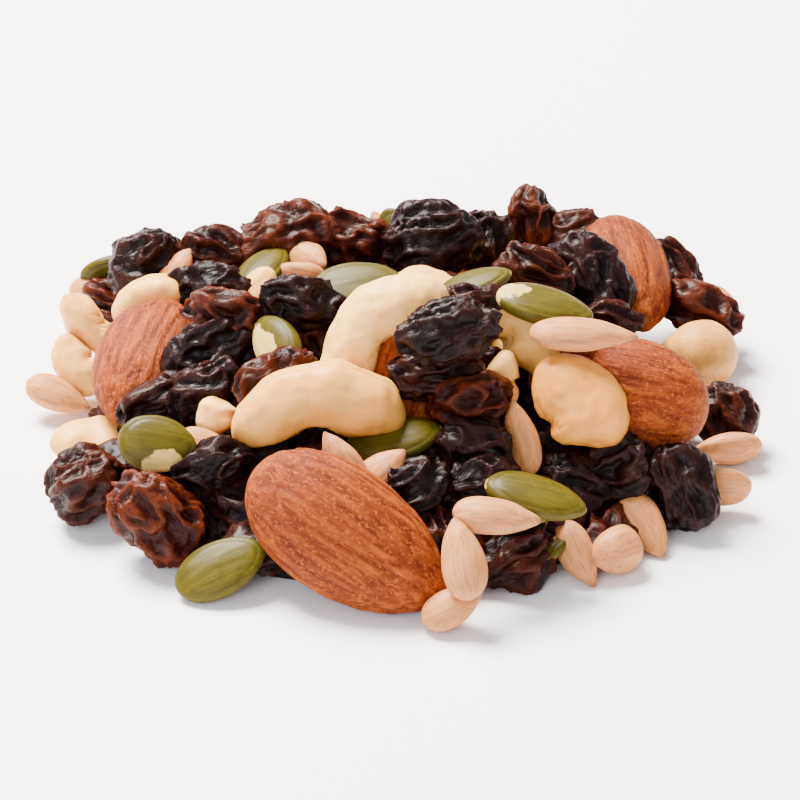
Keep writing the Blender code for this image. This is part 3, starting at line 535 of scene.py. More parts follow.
class Packing:
    """All that is laid, as stretched balls, for telling what is free and how far a piece falls.

    Of a skin's points one in own_step is tried against the others' balls, and one in others_step of theirs against
    the piece's own ball.
    """

    own_step: int = 9
    others_step: int = 23

    def __init__(self, laid: list[Laid], mound: Mound) -> None:
        """Takes in the pieces that are laid already.

        Args:
            laid: The pieces in their places.
            mound: The mound that holds the core.
        """
        self.laid: list[Laid] = []
        self.mound = mound
        for one in laid:
            self.add(one)

    def add(self, one: Laid) -> None:
        """Adds a piece.

        Args:
            one: The piece in its place.
        """
        self.laid.append(one)
        self.middles = np.array([each.middle for each in self.laid])
        self.axes = np.array([each.axes for each in self.laid])
        self.radii = np.array([each.radii for each in self.laid])
        self.skins = np.concatenate([each.points()[:: self.others_step] for each in self.laid])

    def both_ways(self, one: Laid) -> tuple[np.ndarray, np.ndarray]:
        """Sees a piece's skin as the other balls do, and the others' skins as its own ball does.

        Args:
            one: The piece in its place.

        Returns:
            Its points against each other ball, and the others' points against its ball.
        """
        points = one.points()[:: self.own_step]
        theirs = np.einsum("mnk,nkj->mnj", points[:, None] - self.middles, self.axes)
        return theirs / self.radii, (self.skins - one.middle) @ one.axes / one.radii

    def press(self, one: Laid) -> float:
        """Tells how deep a piece and the others press into each other.

        Args:
            one: The piece in its place.

        Returns:
            The depth as a share of the thinner one's half.
        """
        theirs, own = self.both_ways(one)
        least = one.radii.min()
        others = self.radii.min(axis=1)
        into_them = (1 - np.linalg.norm(theirs, axis=2)) * others / np.minimum(others, least)
        into_it = 1 - np.linalg.norm(own, axis=1)
        return max(into_them.max(), into_it.max())

    def fall(self, one: Laid) -> None:
        """Lets a piece straight down until it lies on something.

        Args:
            one: The piece, whose middle is moved.
        """
        theirs, own = self.both_ways(one)
        down = np.array([0.0, 0.0, -1.0])
        meets = [
            first_meeting(theirs, np.einsum("k,nkj->nj", down, self.axes) / self.radii),
            first_meeting(own, -(down @ one.axes) / one.radii),
        ]
        points = one.points()
        height = points[:, 2] - np.maximum(self.mound.core(points[:, 0], points[:, 1]), 0)
        one.middle[2] -= max(0, min(*meets, height.min()))


def tree_of(laid: list[Laid]) -> KDTree:
    """Sorts the skins of some pieces by place.

    Args:
        laid: The pieces in their places.

    Returns:
        The tree of their points, numbered piece by piece.
    """
    skin = np.concatenate([one.points() for one in laid])
    tree = KDTree(len(skin))
    for index, point in enumerate(skin):
        tree.insert(point, index)
    tree.balance()
    return tree


@dataclass
class HeapLayout:
    """Lays every piece of the heap by the rules of the CAD model, in mm."""

    view: PictureView = PictureView()
    mound: Mound = Mound()
    soft_give: float = 0.9
    hard_give: float = 0.4
    sweeps: int = 120
    search: float = 60
    search_steps: int = 961
    deepest_back: float = 12
    back_step: float = 0.4
    loose_most: int = 24
    fill_seed: int = 18
    fill_step: float = 1.0
    fill_tilt: float = math.radians(30)
    above_mound: float = 2.0
    over_rim: float = 4
    in_core: float = 1.5
    free_press: float = 0.45
    covering_share: float = 0.04
    touching: float = 0.12
    into_core: float = 0.1
    press: float = 0.8
    size_spread: float = 0.12
    tone_step: float = 0.37
    brownest: float = 0.7
    bed_pitch: float = 7.0
    bed_sink: float = 1.2
    bed_least_core: float = 3.0
    bed_row: float = 0.87
    bed_stray: float = 0.8
    bed_size: Triple = (9.4, 7.6, 5.6)
    bed_first_seed: int = 500
    bed_brownest: float = 0.6

    def floor_depth(self, one: Laid, way: np.ndarray) -> float:
        """Finds the depth on its line of sight at which a piece's lowest point just meets the floor."""
        return (-one.offsets[:, 2].min() - self.view.eye[2]) / way[2]

    def mound_depth(self, way: np.ndarray, lift: float) -> float:
        """Finds where a line of sight comes closest to the raised mound, or first meets it.

        Args:
            way: The line of sight.
            lift: How far the mound is raised, in mm.

        Returns:
            The depth in mm.
        """
        depths = self.view.distance + np.linspace(-self.search, self.search, self.search_steps)
        points = self.view.eye + depths[:, None] * way
        gap = points[:, 2] - self.mound.top(points[:, 0], points[:, 1]) - lift
        met = np.nonzero(gap <= 0)[0]
        return depths[met[0] if len(met) else np.argmin(gap)]

    def start_depth(self, piece: SeenPiece, way: np.ndarray, floor: float) -> float:
        """Chooses where along its line of sight a piece is first put.

        Args:
            piece: The seen piece.
            way: Its line of sight.
            floor: The depth at which it meets the floor.

        Returns:
            The depth in mm.
        """
        if piece.lift is ON_FLOOR:
            return floor
        if isinstance(piece.lift, Height):
            return min(floor, (piece.lift.mm - self.view.eye[2]) / way[2])
        return min(floor, self.mound_depth(way, piece.lift))

    def core_room(self, one: Laid, way: np.ndarray, depth: float) -> float:
        """Tells how far a piece may go back before it touches the core.

        Args:
            one: The piece.
            way: Its line of sight.
            depth: Its depth now.

        Returns:
            The room in mm.
        """
        steps = np.arange(0, self.deepest_back, self.back_step)
        for step in steps:
            points = one.offsets + self.view.eye + way * (depth + step)
            under = points[:, 2] - self.mound.core(points[:, 0], points[:, 1])
            if under.min() < -self.press:
                return step
        return steps[-1]

    def overlaps_in_view(self, laid: list[Laid]) -> list[tuple[int, int, float]]:
        """Finds the pairs of pieces that show over each other.

        Args:
            laid: The pieces in their first places.

        Returns:
            The number in front, the one behind, and how far the front one may still go back.
        """
        spans = [self.view.span(one) for one in laid]
        pairs = []
        for front in range(len(laid)):
            for behind in range(front):
                shared = np.intersect1d(spans[front][0], spans[behind][0], return_indices=True)
                if not len(shared[0]):
                    continue
                soft = Kind.RAISIN in (laid[front].kind, laid[behind].kind)
                gap = (spans[behind][1][shared[2]] - spans[front][2][shared[1]]).min()
                pairs.append((front, behind, gap + (self.soft_give if soft else self.hard_give)))
        return pairs

    def settle(self, pieces: list[SeenPiece]) -> list[Laid]:
        """Lays the seen pieces: each moves only along its line of sight, first apart and then back to a rest.

        Args:
            pieces: The seen pieces, the furthest first.

        Returns:
            The pieces in their places.
        """
        laid = [
            Laid(p.kind, p.size, number, self.view.turned(p), p.bend, tone=p.tone, peel=p.peel)
            for number, p in enumerate(pieces)
        ]
        eye = self.view.eye
        ways = [self.view.sight(piece.at) for piece in pieces]
        floors = [self.floor_depth(one, way) for one, way in zip(laid, ways)]
        depth = [self.start_depth(*each) for each in zip(pieces, ways, floors)]
        for one, way, at in zip(laid, ways, depth):
            one.middle = eye + way * at
        ease = [0 if p.lift is ON_FLOOR or isinstance(p.lift, Height) else 1 for p in pieces]
        room = [
            min(floor - at, self.core_room(one, way, at)) for one, way, floor, at in zip(laid, ways, floors, depth)
        ]
        shift = np.zeros(len(pieces))
        pairs = self.overlaps_in_view(laid)
        for _ in range(self.sweeps):
            for front, behind, gap in pairs:
                short = shift[front] - shift[behind] - gap
                either = ease[front] + ease[behind]
                if short <= 0 or either == 0:
                    continue
                back = min(short * ease[behind] / either, max(0, room[behind] - shift[behind]))
                shift[behind] += back
                if ease[front]:
                    shift[front] -= short - back
        for number, one in enumerate(laid):
            if ease[number]:
                way, at = ways[number], depth[number] + shift[number]
                reach = [gap + shift[b] for f, b, gap in pairs if f == number]
                reach.append(shift[number] + self.core_room(one, way, at))
                shift[number] = max(shift[number], min([room[number], *reach]))
            one.middle = eye + ways[number] * (depth[number] + shift[number])
        return laid

    def placed_by_draw(self, kind: Kind, size: list[float], seed: int, draw: random.Random) -> Laid:
        """Puts a piece over a drawn point of the plan, lying nearly flat with a drawn turn.

        Args:
            kind: Its kind.
            size: Its size in mm.
            seed: Its own seed.
            draw: The fill's random numbers.

        Returns:
            The piece, at height 0.
        """
        turn = Matrix.Rotation(draw.uniform(0, 2 * math.pi), 3, "Z")
        turn @= Matrix.Rotation(draw.uniform(-1, 1) * self.fill_tilt, 3, "Y")
        turn @= Matrix.Rotation(draw.uniform(-1, 1) * self.fill_tilt, 3, "X")
        one = Laid(kind, size, seed, np.array(turn), shown=False, tone=seed * self.tone_step % self.brownest)
        out, round_by = math.sqrt(draw.random()), draw.uniform(0, 2 * math.pi)
        x, y = math.cos(round_by), math.sin(round_by)
        one.middle[:2] = np.array([x, y]) * out / self.mound.outwards(x, y)
        return one

    def comes_to_lie(self, one: Laid, cover: Cover, packing: Packing) -> bool:
        """Looks for a free and hidden spot below a piece's point of the mound, and leaves it there.

        Args:
            one: The piece, whose middle is moved.
            cover: What the picture shows.
            packing: What is laid already.

        Returns:
            Whether there was one.
        """
        x, y = one.middle[:2]
        highest = max(self.mound.top(x, y), self.over_rim) + self.above_mound
        lowest = max(self.mound.core(x, y) - self.in_core, -one.offsets[:, 2].min())
        for height in np.arange(highest, lowest, -self.fill_step):
            one.middle[2] = height
            if cover.in_the_way(one) or packing.press(one) > self.free_press:
                continue
            packing.fall(one)
            return not cover.in_the_way(one)
        return False

    def fill(self, seen: list[Laid], draw: random.Random) -> list[Laid]:
        """Lets pieces fall in where the picture doesn't show the heap.

        Args:
            seen: The seen pieces in their places.
            draw: The fill's random numbers.

        Returns:
            The pieces added.
        """
        cover = Cover(self.view, seen, self.covering_share)
        packing, added = Packing(seen, self.mound), []
        for share in MIX:
            found = 0
            for attempt in range(share.tries):
                size = [s * (1 + draw.uniform(-1, 1) * self.size_spread) for s in share.size]
                one = self.placed_by_draw(share.kind, size, attempt, draw)
                if found < share.most and self.comes_to_lie(one, cover, packing):
                    packing.add(one)
                    added.append(one)
                    found += 1
        return added

    def reaches_core(self, one: Laid) -> bool:
        """Tells whether a piece dips into the core."""
        x, y, z = one.points().T
        return bool((z < self.mound.core(x, y) - self.into_core).any())

    def groups_touching(self, laid: list[Laid]) -> list[int]:
        """Finds which pieces hang together.

        Args:
            laid: The pieces in their places.

        Returns:
            One number for each piece, 0 for those that reach the core.
        """
        tree = tree_of(laid)
        links: list[set[int]] = [set() for _ in laid]
        for number, one in enumerate(laid):
            for point in one.points()[::3]:
                for _, index, _ in tree.find_range(point, self.touching):
                    other = index // len(layout_ball())
                    links[number].add(other)
                    links[other].add(number)
        group, latest = [-1] * len(laid), 0
        edge = [number for number, one in enumerate(laid) if self.reaches_core(one)]
        while edge:
            for number in edge:
                group[number] = latest
            edge = [other for number in edge for other in links[number] if group[other] < 0]
            if not edge and -1 in group:
                latest += 1
                edge = [group.index(-1)]
        return group

    def way_to_touch(self, moved: list[Laid], tree: KDTree) -> np.ndarray:
        """Finds the shortest way by which some pieces reach a skin.

        Args:
            moved: The pieces of one loose group.
            tree: The skin of the rest.

        Returns:
            The way in mm.
        """
        ends = [(tree.find(p), p) for one in moved for p in one.points()[::2]]
        (target, _, gap), point = min(ends, key=lambda end: end[0][2])
        way = (np.array(target) - point) * (gap + self.press) / max(gap, 1e-6)
        lowest = min(one.points()[:, 2].min() for one in moved)
        way[2] = max(way[2], -lowest)
        return way

    def gather(self, laid: list[Laid]) -> None:
        """Moves each loose group by a little until it touches the rest, the nearest group first.

        Args:
            laid: The pieces, whose middles are moved.
        """
        for _ in range(self.loose_most):
            group = self.groups_touching(laid)
            if not any(group):
                return
            tree = tree_of([one for one, n in zip(laid, group) if n == 0])
            ways = []
            for number in set(group) - {0}:
                moved = [one for one, n in zip(laid, group) if n == number]
                ways.append((self.way_to_touch(moved, tree), moved))
            way, moved = min(ways, key=lambda each: np.linalg.norm(each[0]))
            for one in moved:
                one.middle = one.middle + way

    def bed(self) -> list[Laid]:
        """Sinks raisins into the core's skin, so that a gap seen from above shows fruit and not the core.

        Returns:
            The sunk raisins.
        """
        draw, made = random.Random(self.fill_seed), []
        rows = int(self.mound.half_width / self.bed_pitch)
        for row in range(-rows, rows + 1):
            for column in range(-rows, rows + 1):
                x = (column + 0.5 * (row % 2)) * self.bed_pitch + draw.uniform(-self.bed_stray, self.bed_stray)
                y = row * self.bed_pitch * self.bed_row + draw.uniform(-self.bed_stray, self.bed_stray)
                turn = Matrix.Rotation(draw.uniform(0, 2 * math.pi), 3, "Z")
                core = self.mound.core(x, y)
                if core < self.bed_least_core:
                    continue
                one = Laid(Kind.RAISIN, self.bed_size, self.bed_first_seed + len(made), np.array(turn), shown=False)
                one.tone = draw.uniform(0, self.bed_brownest)
                one.middle[:] = (x, y, core - self.bed_sink)
                made.append(one)
        return made

    def lay_out(self) -> list[Laid]:
        """Lays the whole heap.

        Returns:
            All pieces in their places.
        """
        seen = self.settle(SEEN_PIECES)
        laid = self.fill(seen, random.Random(self.fill_seed)) + seen
        self.gather(laid)
        return laid + self.bed()


# Large odd numbers that mix a cell's place and the seed, and then the mixture's own bits.
CELL_MIX = (374761393, 668265263, 1274126177)
SEED_MIX, FIRST_MIX, SECOND_MIX = 974634777, 1103515245, 747796405
NOISE_GAIN = 1.4


def gradient_noise(points: np.ndarray, seed: int) -> np.ndarray:
    """Makes smooth noise of one cell to a unit.

    Args:
        points: Where to read it.
        seed: Which noise it is.

    Returns:
        Values between about -1 and 1.
    """
    cell = np.floor(points).astype(np.int64)
    inside = points - cell
    ease = inside**3 * (inside * (inside * 6 - 15) + 10)
    total = np.zeros(len(points))
    for corner in np.ndindex(2, 2, 2):
        at = cell + corner
        mixed = at @ np.array(CELL_MIX) + seed * SEED_MIX
        mixed = (mixed ^ (mixed >> 13)) * FIRST_MIX
        mixed = (mixed ^ (mixed >> 16)) * SECOND_MIX
        mixed = mixed ^ (mixed >> 15)
        slope = np.stack([(mixed >> shift & 255) / 127.5 - 1 for shift in (0, 8, 16)], axis=1)
        weight = np.where(corner, ease, 1 - ease).prod(axis=1)
        total += weight * ((inside - corner) * slope).sum(axis=1)
    return total * NOISE_GAIN


def linear(code: str) -> tuple[float, float, float, float]:
    """Turns an sRGB hex colour, six digits after a #, to linear, and opaque."""
    parts = [int(code[i : i + 2], 16) / 255 for i in (1, 3, 5)]
    return (*(p / 12.92 if p <= 0.04045 else ((p + 0.055) / 1.055) ** 2.4 for p in parts), 1.0)


def add_node(
    tree: bpy.types.NodeTree,
    kind: str,
    settings: dict[str | int, Any],
    links: dict[str | int, bpy.types.NodeSocket] | None = None,
) -> bpy.types.Node:
    """Adds a node with its settings and links.

    Args:
        tree: The material's node tree.
        kind: The node's type.
        settings: Values for its attributes or, by name or number, its input sockets.
        links: The sockets that feed its inputs.

    Returns:
        The node.
    """
    node = tree.nodes.new(kind)
    for key, value in settings.items():
        if isinstance(key, str) and hasattr(node, key):
            setattr(node, key, value)
        else:
            node.inputs[key].default_value = value
    for key, socket in (links or {}).items():
        tree.links.new(socket, node.inputs[key])
    return node


@dataclass(frozen=True)
class Pattern:
    """Noise whose lumps have a size in mm along, across and through a piece, with some finer layers on it."""

    name: str
    pitch_mm: Triple
    detail: float = 3.0


@dataclass(frozen=True)
class Layer:
    """A colour laid over those before it where a pattern or one of the piece's attributes says so.

    low and high are the values at which it starts to show and shows most, most is how much of it then shows, and plus
    names what is added to the value first. A pair of colours is mixed by the piece's tint.
    """

    by: str
    colour: Colour
    low: float = 0.0
    high: float = 1.0
    most: float = 1.0
    plus: str = ""


@dataclass(frozen=True)
class Finish:
    """What all finishes share: the shader's values, the patterns, the colours over each other and the fine relief."""

    name: str
    reads: tuple[str, ...]
    patterns: tuple[Pattern, ...]
    base: Colour
    layers: tuple[Layer, ...]
    raised_by: str
    raised_mm: float
    raised_share: float
    roughness: float = 0.5
    roughness_span: tuple[float, float] | None = None
    specular: float = 0.3
    ior: float = 1.45
    coat: float = 0.0
    coat_roughness: float = 0.2
    subsurface: float = 0.0
    subsurface_mm: float = 1.0
    subsurface_tint: Triple = (1.0, 0.6, 0.3)
    noise_roughness: float = 0.6
    noise_span: tuple[float, float] = (0.3, 0.7)

    def read(self, tree: bpy.types.NodeTree) -> dict[str, bpy.types.NodeSocket]:
        """Reads the piece's attributes and makes the patterns, which follow its own coordinates in mm.

        Args:
            tree: The material's node tree.

        Returns:
            The sockets of both by name.
        """
        values = {}
        for name in self.reads:
            node = add_node(tree, "ShaderNodeAttribute", {"attribute_name": name})
            values[name] = node.outputs["Vector" if name == "own" else "Fac"]
        for pattern in self.patterns:
            scale = tuple(1 / pitch for pitch in pattern.pitch_mm)
            mapped = add_node(tree, "ShaderNodeMapping", {"Scale": scale}, {"Vector": values["own"]})
            settings = {"Scale": 1.0, "Detail": pattern.detail, "Roughness": self.noise_roughness}
            noise = add_node(tree, "ShaderNodeTexNoise", settings, {"Vector": mapped.outputs[0]})
            values[pattern.name] = noise.outputs[0]
        return values

    def coloured(self, tree: bpy.types.NodeTree, values: dict[str, bpy.types.NodeSocket]) -> bpy.types.NodeSocket:
        """Lays the colours over each other.

        Args:
            tree: The material's node tree.
            values: The sockets of attributes and patterns by name.

        Returns:
            The socket of the skin's colour.
        """
        skin: Colour | bpy.types.NodeSocket = self.base
        for layer in self.layers:
            value = values[layer.by]
            if layer.plus:
                added = {0: values[layer.plus], 1: value}
                value = add_node(tree, "ShaderNodeMath", {"operation": "ADD"}, added).outputs[0]
            span = {"From Min": layer.low, "From Max": layer.high, "To Min": 0.0, "To Max": layer.most}
            shows = add_node(tree, "ShaderNodeMapRange", span, {"Value": value})
            settings, links = {"data_type": "RGBA"}, {0: shows.outputs[0]}
            for number, colour in ((6, skin), (7, layer.colour)):
                if isinstance(colour, str):
                    settings[number] = linear(colour)
                elif isinstance(colour, tuple):
                    pair = {"data_type": "RGBA", 6: linear(colour[0]), 7: linear(colour[1])}
                    links[number] = add_node(tree, "ShaderNodeMix", pair, {0: values["tint"]}).outputs[2]
                else:
                    links[number] = colour
            skin = add_node(tree, "ShaderNodeMix", settings, links).outputs[2]
        return skin

    def build(self) -> bpy.types.Material:
        """Makes the material.

        Returns:
            The material.
        """
        material = bpy.data.materials.new(self.name)
        material.use_nodes = True
        tree = material.node_tree
        shader = tree.nodes["Principled BSDF"]
        for socket, value in (
            ("Roughness", self.roughness),
            ("IOR", self.ior),
            ("Coat Weight", self.coat),
            ("Coat Roughness", self.coat_roughness),
            ("Specular IOR Level", self.specular),
            ("Subsurface Weight", self.subsurface),
            ("Subsurface Radius", self.subsurface_tint),
            ("Subsurface Scale", self.subsurface_mm * MM),
        ):
            shader.inputs[socket].default_value = value
        values = self.read(tree)
        height = values[self.raised_by]
        tree.links.new(self.coloured(tree, values), shader.inputs["Base Color"])
        if self.roughness_span:
            (low, high), (smooth, rough) = self.noise_span, self.roughness_span
            span = {"From Min": low, "From Max": high, "To Min": smooth, "To Max": rough}
            uneven = add_node(tree, "ShaderNodeMapRange", span, {"Value": height})
            tree.links.new(uneven.outputs[0], shader.inputs["Roughness"])
        settings = {"Strength": self.raised_share, "Distance": self.raised_mm * MM}
        bump = add_node(tree, "ShaderNodeBump", settings, {"Height": height})
        tree.links.new(bump.outputs[0], shader.inputs["Normal"])
        return material


# Raisins: grapes dried in the sun, skin shrunk to folds about 1 mm apart, with a thin sticky film of sugar and oil.
# To the eye they are near black with a red glow where they are thin, and the fold tops shine bluish white. The mesh
# has the folds, and the colour is painted lighter on the fold tops as a painted highlight and left darker in the
# creases as painted shade. The finest creases, really about 0.2 mm apart, are drawn at 0.45 mm, as coarse as they need
# to show.
@dataclass(frozen=True)
class SunDriedGrapeSkin(Finish):
    """The finish of a raisin, from dark to brown by its tint."""

    DARK, BROWN = "#0a0303", "#260501"
    DARK_PAINTED_HIGHLIGHT, BROWN_PAINTED_HIGHLIGHT = "#1b0b0b", "#5e250b"

    name: str = "raisin_sun_dried_grape_skin"
    reads: tuple[str, ...] = ("own", "tint", "relief")
    patterns: tuple[Pattern, ...] = (
        Pattern("patches", (2.2, 1.6, 1.6)),
        Pattern("fine folds", (0.9, 0.45, 0.45), 4.0),
    )
    base: Colour = (DARK, BROWN)
    layers: tuple[Layer, ...] = (
        # Painted highlight on the fold tops, where the relief is high; the creases keep the darker base as painted
        # shade.
        Layer("relief", (DARK_PAINTED_HIGHLIGHT, BROWN_PAINTED_HIGHLIGHT), 0.5, 1.05),
        Layer("patches", (DARK, BROWN), 0.5, 0.75, 0.55),
    )
    raised_by: str = "fine folds"
    raised_mm: float = 0.32
    raised_share: float = 0.8
    roughness_span: tuple[float, float] | None = (0.2, 0.42)
    specular: float = 0.08
    coat: float = 0.07
    subsurface: float = 0.08
    subsurface_mm: float = 0.9
    subsurface_tint: Triple = (1.0, 0.22, 0.1)


# Almond skin: the seed's brown coat, dried and rubbed dusty. To the eye it is matt cinnamon with lengthwise furrows
# and fine fibres along them. The furrows are painted darker as painted shade and the ribs paler as painted highlight.
# Real fibres are about 0.1 mm apart, and are drawn at 0.22 mm, two pixels of the picture, so that they show.
@dataclass(frozen=True)
class DriedAlmondSkin(Finish):
    """The finish of a whole almond."""

    DARK_FIBRE_AND_FURROW_SHADE, SKIN, PALE_SPECK_AND_RIB_HIGHLIGHT = "#541904", "#8c3d09", "#ad5c1b"

    name: str = "almond_dried_seed_skin"
    reads: tuple[str, ...] = ("own", "relief")
    patterns: tuple[Pattern, ...] = (
        Pattern("fibres", (2.4, 0.22, 0.22), 4.0),
        Pattern("specks", (0.5, 0.35, 0.35), 2.0),
        Pattern("patches", (7, 4, 4), 2.0),
    )
    # The base is painted shade for the deepest furrows; the relief layers lift it to the skin's colour and to a
    # painted highlight on the ribs. The fibres, specks and patches are the skin's own colour.
    base: Colour = DARK_FIBRE_AND_FURROW_SHADE
    layers: tuple[Layer, ...] = (
        Layer("relief", SKIN, 0.1, 0.6),
        Layer("relief", PALE_SPECK_AND_RIB_HIGHLIGHT, 0.55, 1.0, 0.8),
        Layer("fibres", DARK_FIBRE_AND_FURROW_SHADE, 0.5, 0.68, 0.75),
        Layer("specks", PALE_SPECK_AND_RIB_HIGHLIGHT, 0.53, 0.66, 0.55),
        Layer("patches", DARK_FIBRE_AND_FURROW_SHADE, 0.45, 0.7, 0.3),
    )
    raised_by: str = "fibres"
    raised_mm: float = 0.2
    raised_share: float = 0.9
    roughness: float = 0.62
    specular: float = 0.15


# Cashew kernel: peeled and dried, slightly oily. To the eye it is warm cream, satin, browner at the tips, with a soft
# glow under the skin; its creases, seam and wrinkles are painted darker as painted shade. Its grain of about 0.1 mm is
# drawn at 0.35 mm, so that it shows.
@dataclass(frozen=True)
class PeeledCashewKernel(Finish):
    """The finish of a cashew."""

    PALE, WARM, BROWN_TIP_AND_CREASE_SHADE = "#f5cb72", "#e08f2c", "#955414"

    name: str = "cashew_peeled_kernel"
    reads: tuple[str, ...] = ("own", "tint", "relief", "mark")
    patterns: tuple[Pattern, ...] = (Pattern("patches", (4, 3, 3)), Pattern("grain", (0.6, 0.35, 0.35)))
    base: Colour = (PALE, WARM)
    layers: tuple[Layer, ...] = (
        Layer("patches", WARM, 0.45, 0.75, 0.6),
        # Painted shade: darker in the creases, dents, seam and wrinkles, where the relief is low. The mark's browner
        # tips are the kernel's own colour.
        Layer("relief", BROWN_TIP_AND_CREASE_SHADE, 0.45, 0.0, 0.8),
        Layer("mark", BROWN_TIP_AND_CREASE_SHADE),
    )
    raised_by: str = "grain"
    raised_mm: float = 0.06
    raised_share: float = 0.5
    roughness: float = 0.44
    subsurface: float = 0.2
    subsurface_mm: float = 1.4


# Pumpkin seed: hulled, its thin green seed coat left on and polished by rubbing. To the eye it is satin olive with a
# sharper rim, fine lengthwise streaks, pale ends, and cream where the coat has come off. The groove inside the rim is
# painted darker as painted shade. The streaks follow the coat's cells, whose rows of about 0.1 mm are drawn at 0.3 mm,
# so that they show.
@dataclass(frozen=True)
class GreenSeedCoat(Finish):
    """The finish of a pumpkin seed."""

    GREEN, DARK, PALE, BARE = "#403a05", "#2a2602", "#544a0c", "#c4a75a"

    name: str = "pumpkin_seed_green_coat"
    reads: tuple[str, ...] = ("own", "tint", "relief", "mark")
    patterns: tuple[Pattern, ...] = (Pattern("streaks", (3.5, 0.3, 0.3)), Pattern("patches", (2.5, 1.8, 1.8), 2.0))
    base: Colour = GREEN
    layers: tuple[Layer, ...] = (
        Layer("streaks", PALE, 0.35, 0.7),
        Layer("patches", DARK, 0.45, 0.7, 0.5),
        # Painted shade: darker in the groove inside the rim and where the streaks are low, by the relief.
        Layer("relief", DARK, 0.4, 0.0, 0.85),
        Layer("tint", PALE, most=0.4),
        Layer("patches", BARE, 0.95, 1.02, plus="mark"),
    )
    raised_by: str = "streaks"
    raised_mm: float = 0.05
    raised_share: float = 0.5
    roughness: float = 0.42
    specular: float = 0.16


# Sunflower kernel: hulled and dried, without gloss. To the eye it is a greyish beige with fine lengthwise lines and a
# browner point. The lines are 0.3 mm apart, as on the real one.
@dataclass(frozen=True)
class HulledSunflowerKernel(Finish):
    """The finish of a sunflower kernel."""

    BEIGE, LINE, POINT = "#ca8448", "#8f5a36", "#5f3a1e"

    name: str = "sunflower_hulled_kernel"
    reads: tuple[str, ...] = ("own", "tint", "mark")
    patterns: tuple[Pattern, ...] = (Pattern("lines", (6.0, 0.3, 0.3), 2.0), Pattern("patches", (2, 1.2, 1.2), 2.0))
    base: Colour = BEIGE
    layers: tuple[Layer, ...] = (
        Layer("lines", LINE, 0.45, 0.75, 0.8),
        Layer("patches", LINE, 0.5, 0.75, 0.4),
        Layer("tint", LINE, most=0.35),
        Layer("mark", POINT),
    )
    raised_by: str = "lines"
    raised_mm: float = 0.07
    raised_share: float = 0.6
    subsurface: float = 0.12
    subsurface_mm: float = 0.8
    subsurface_tint: Triple = (1.0, 0.65, 0.4)


# Round nut: a skinned hazelnut, dry and smooth. To the eye it is even cream ochre, with brown specks of skin left.
@dataclass(frozen=True)
class SkinnedHazelnut(Finish):
    """The finish of the round nut."""

    CREAM, SHADE, SPECK = "#d69746", "#b6762d", "#6c3c14"

    name: str = "hazelnut_skinned"
    reads: tuple[str, ...] = ("own", "mark")
    patterns: tuple[Pattern, ...] = (Pattern("patches", (3, 3, 3)), Pattern("specks", (0.7, 0.5, 0.5), 2.0))
    base: Colour = CREAM
    layers: tuple[Layer, ...] = (
        Layer("patches", SHADE, 0.4, 0.7),
        Layer("specks", SPECK, 0.66, 0.72, 0.7),
        Layer("mark", SPECK),
    )
    raised_by: str = "patches"
    raised_mm: float = 0.08
    raised_share: float = 0.6
    roughness: float = 0.48
    subsurface: float = 0.15
    subsurface_mm: float = 1.2
    subsurface_tint: Triple = (1.0, 0.6, 0.35)


# Inside of the heap: it stands in for more fruit pressed together, and its near-black colour is painted shade, as the
# fruit would lie in shadow. To the eye it is only the dark between the pieces.
@dataclass(frozen=True)
class PressedFruitAndPaintedShade(Finish):
    """The finish of the heap's inside, near black as painted shade."""

    name: str = "pressed_fruit_and_painted_shade"
    reads: tuple[str, ...] = ("own",)
    patterns: tuple[Pattern, ...] = (Pattern("folds", (2, 1.4, 1.4), 4.0),)
    # Painted shade: near-black colours for the shadowed inside of the heap.
    base: Colour = "#080404"
    layers: tuple[Layer, ...] = (Layer("folds", "#140907"),)
    raised_by: str = "folds"
    raised_mm: float = 0.5
    raised_share: float = 0.8
    specular: float = 0.4


@cache
def fine_ball(subdivisions: int) -> tuple[bpy.types.Mesh, np.ndarray]:
    """Makes the even ball that every piece is shaped from.

    Args:
        subdivisions: How often its twenty faces are divided, 4 for 1,280 triangles.

    Returns:
        Its mesh and its points.
    """
    made = bmesh.new()
    bmesh.ops.create_icosphere(made, subdivisions=subdivisions, radius=1)
    mesh = bpy.data.meshes.new(f"ball_{subdivisions}")
    made.to_mesh(mesh)
    made.free()
    points = np.empty(len(mesh.vertices) * 3, np.float32)
    mesh.vertices.foreach_get("co", points)
    points = points.reshape(-1, 3).astype(float)
    return mesh, points / np.linalg.norm(points, axis=1)[:, None]


def in_scene(name: str, data: bpy.types.ID) -> bpy.types.Object:
    """Puts a new object into the scene.

    Args:
        name: Its name.
        data: Its mesh, light or camera.

    Returns:
        The object.
    """
    obj = bpy.data.objects.new(name, data)
    bpy.context.scene.collection.objects.link(obj)
    return obj


def dressed(mesh: bpy.types.Mesh, values: dict[str, np.ndarray], finish: Finish) -> bpy.types.Object:
    """Hands a mesh its values by attribute and makes it a smooth piece with its finish.

    Args:
        mesh: The mesh, named as the piece.
        values: The attributes of its points by name.
        finish: The finish.

    Returns:
        The piece's object.
    """
    for name, value in values.items():
        form, slot = ("FLOAT_VECTOR", "vector") if name == "own" else ("FLOAT", "value")
        mesh.attributes.new(name, form, "POINT").data.foreach_set(slot, value.astype(np.float32).ravel())
    mesh.shade_smooth()
    mesh.materials.append(finish.build())
    LOG.info("%s: %d faces", mesh.name, len(mesh.polygons))
    return in_scene(mesh.name, mesh)


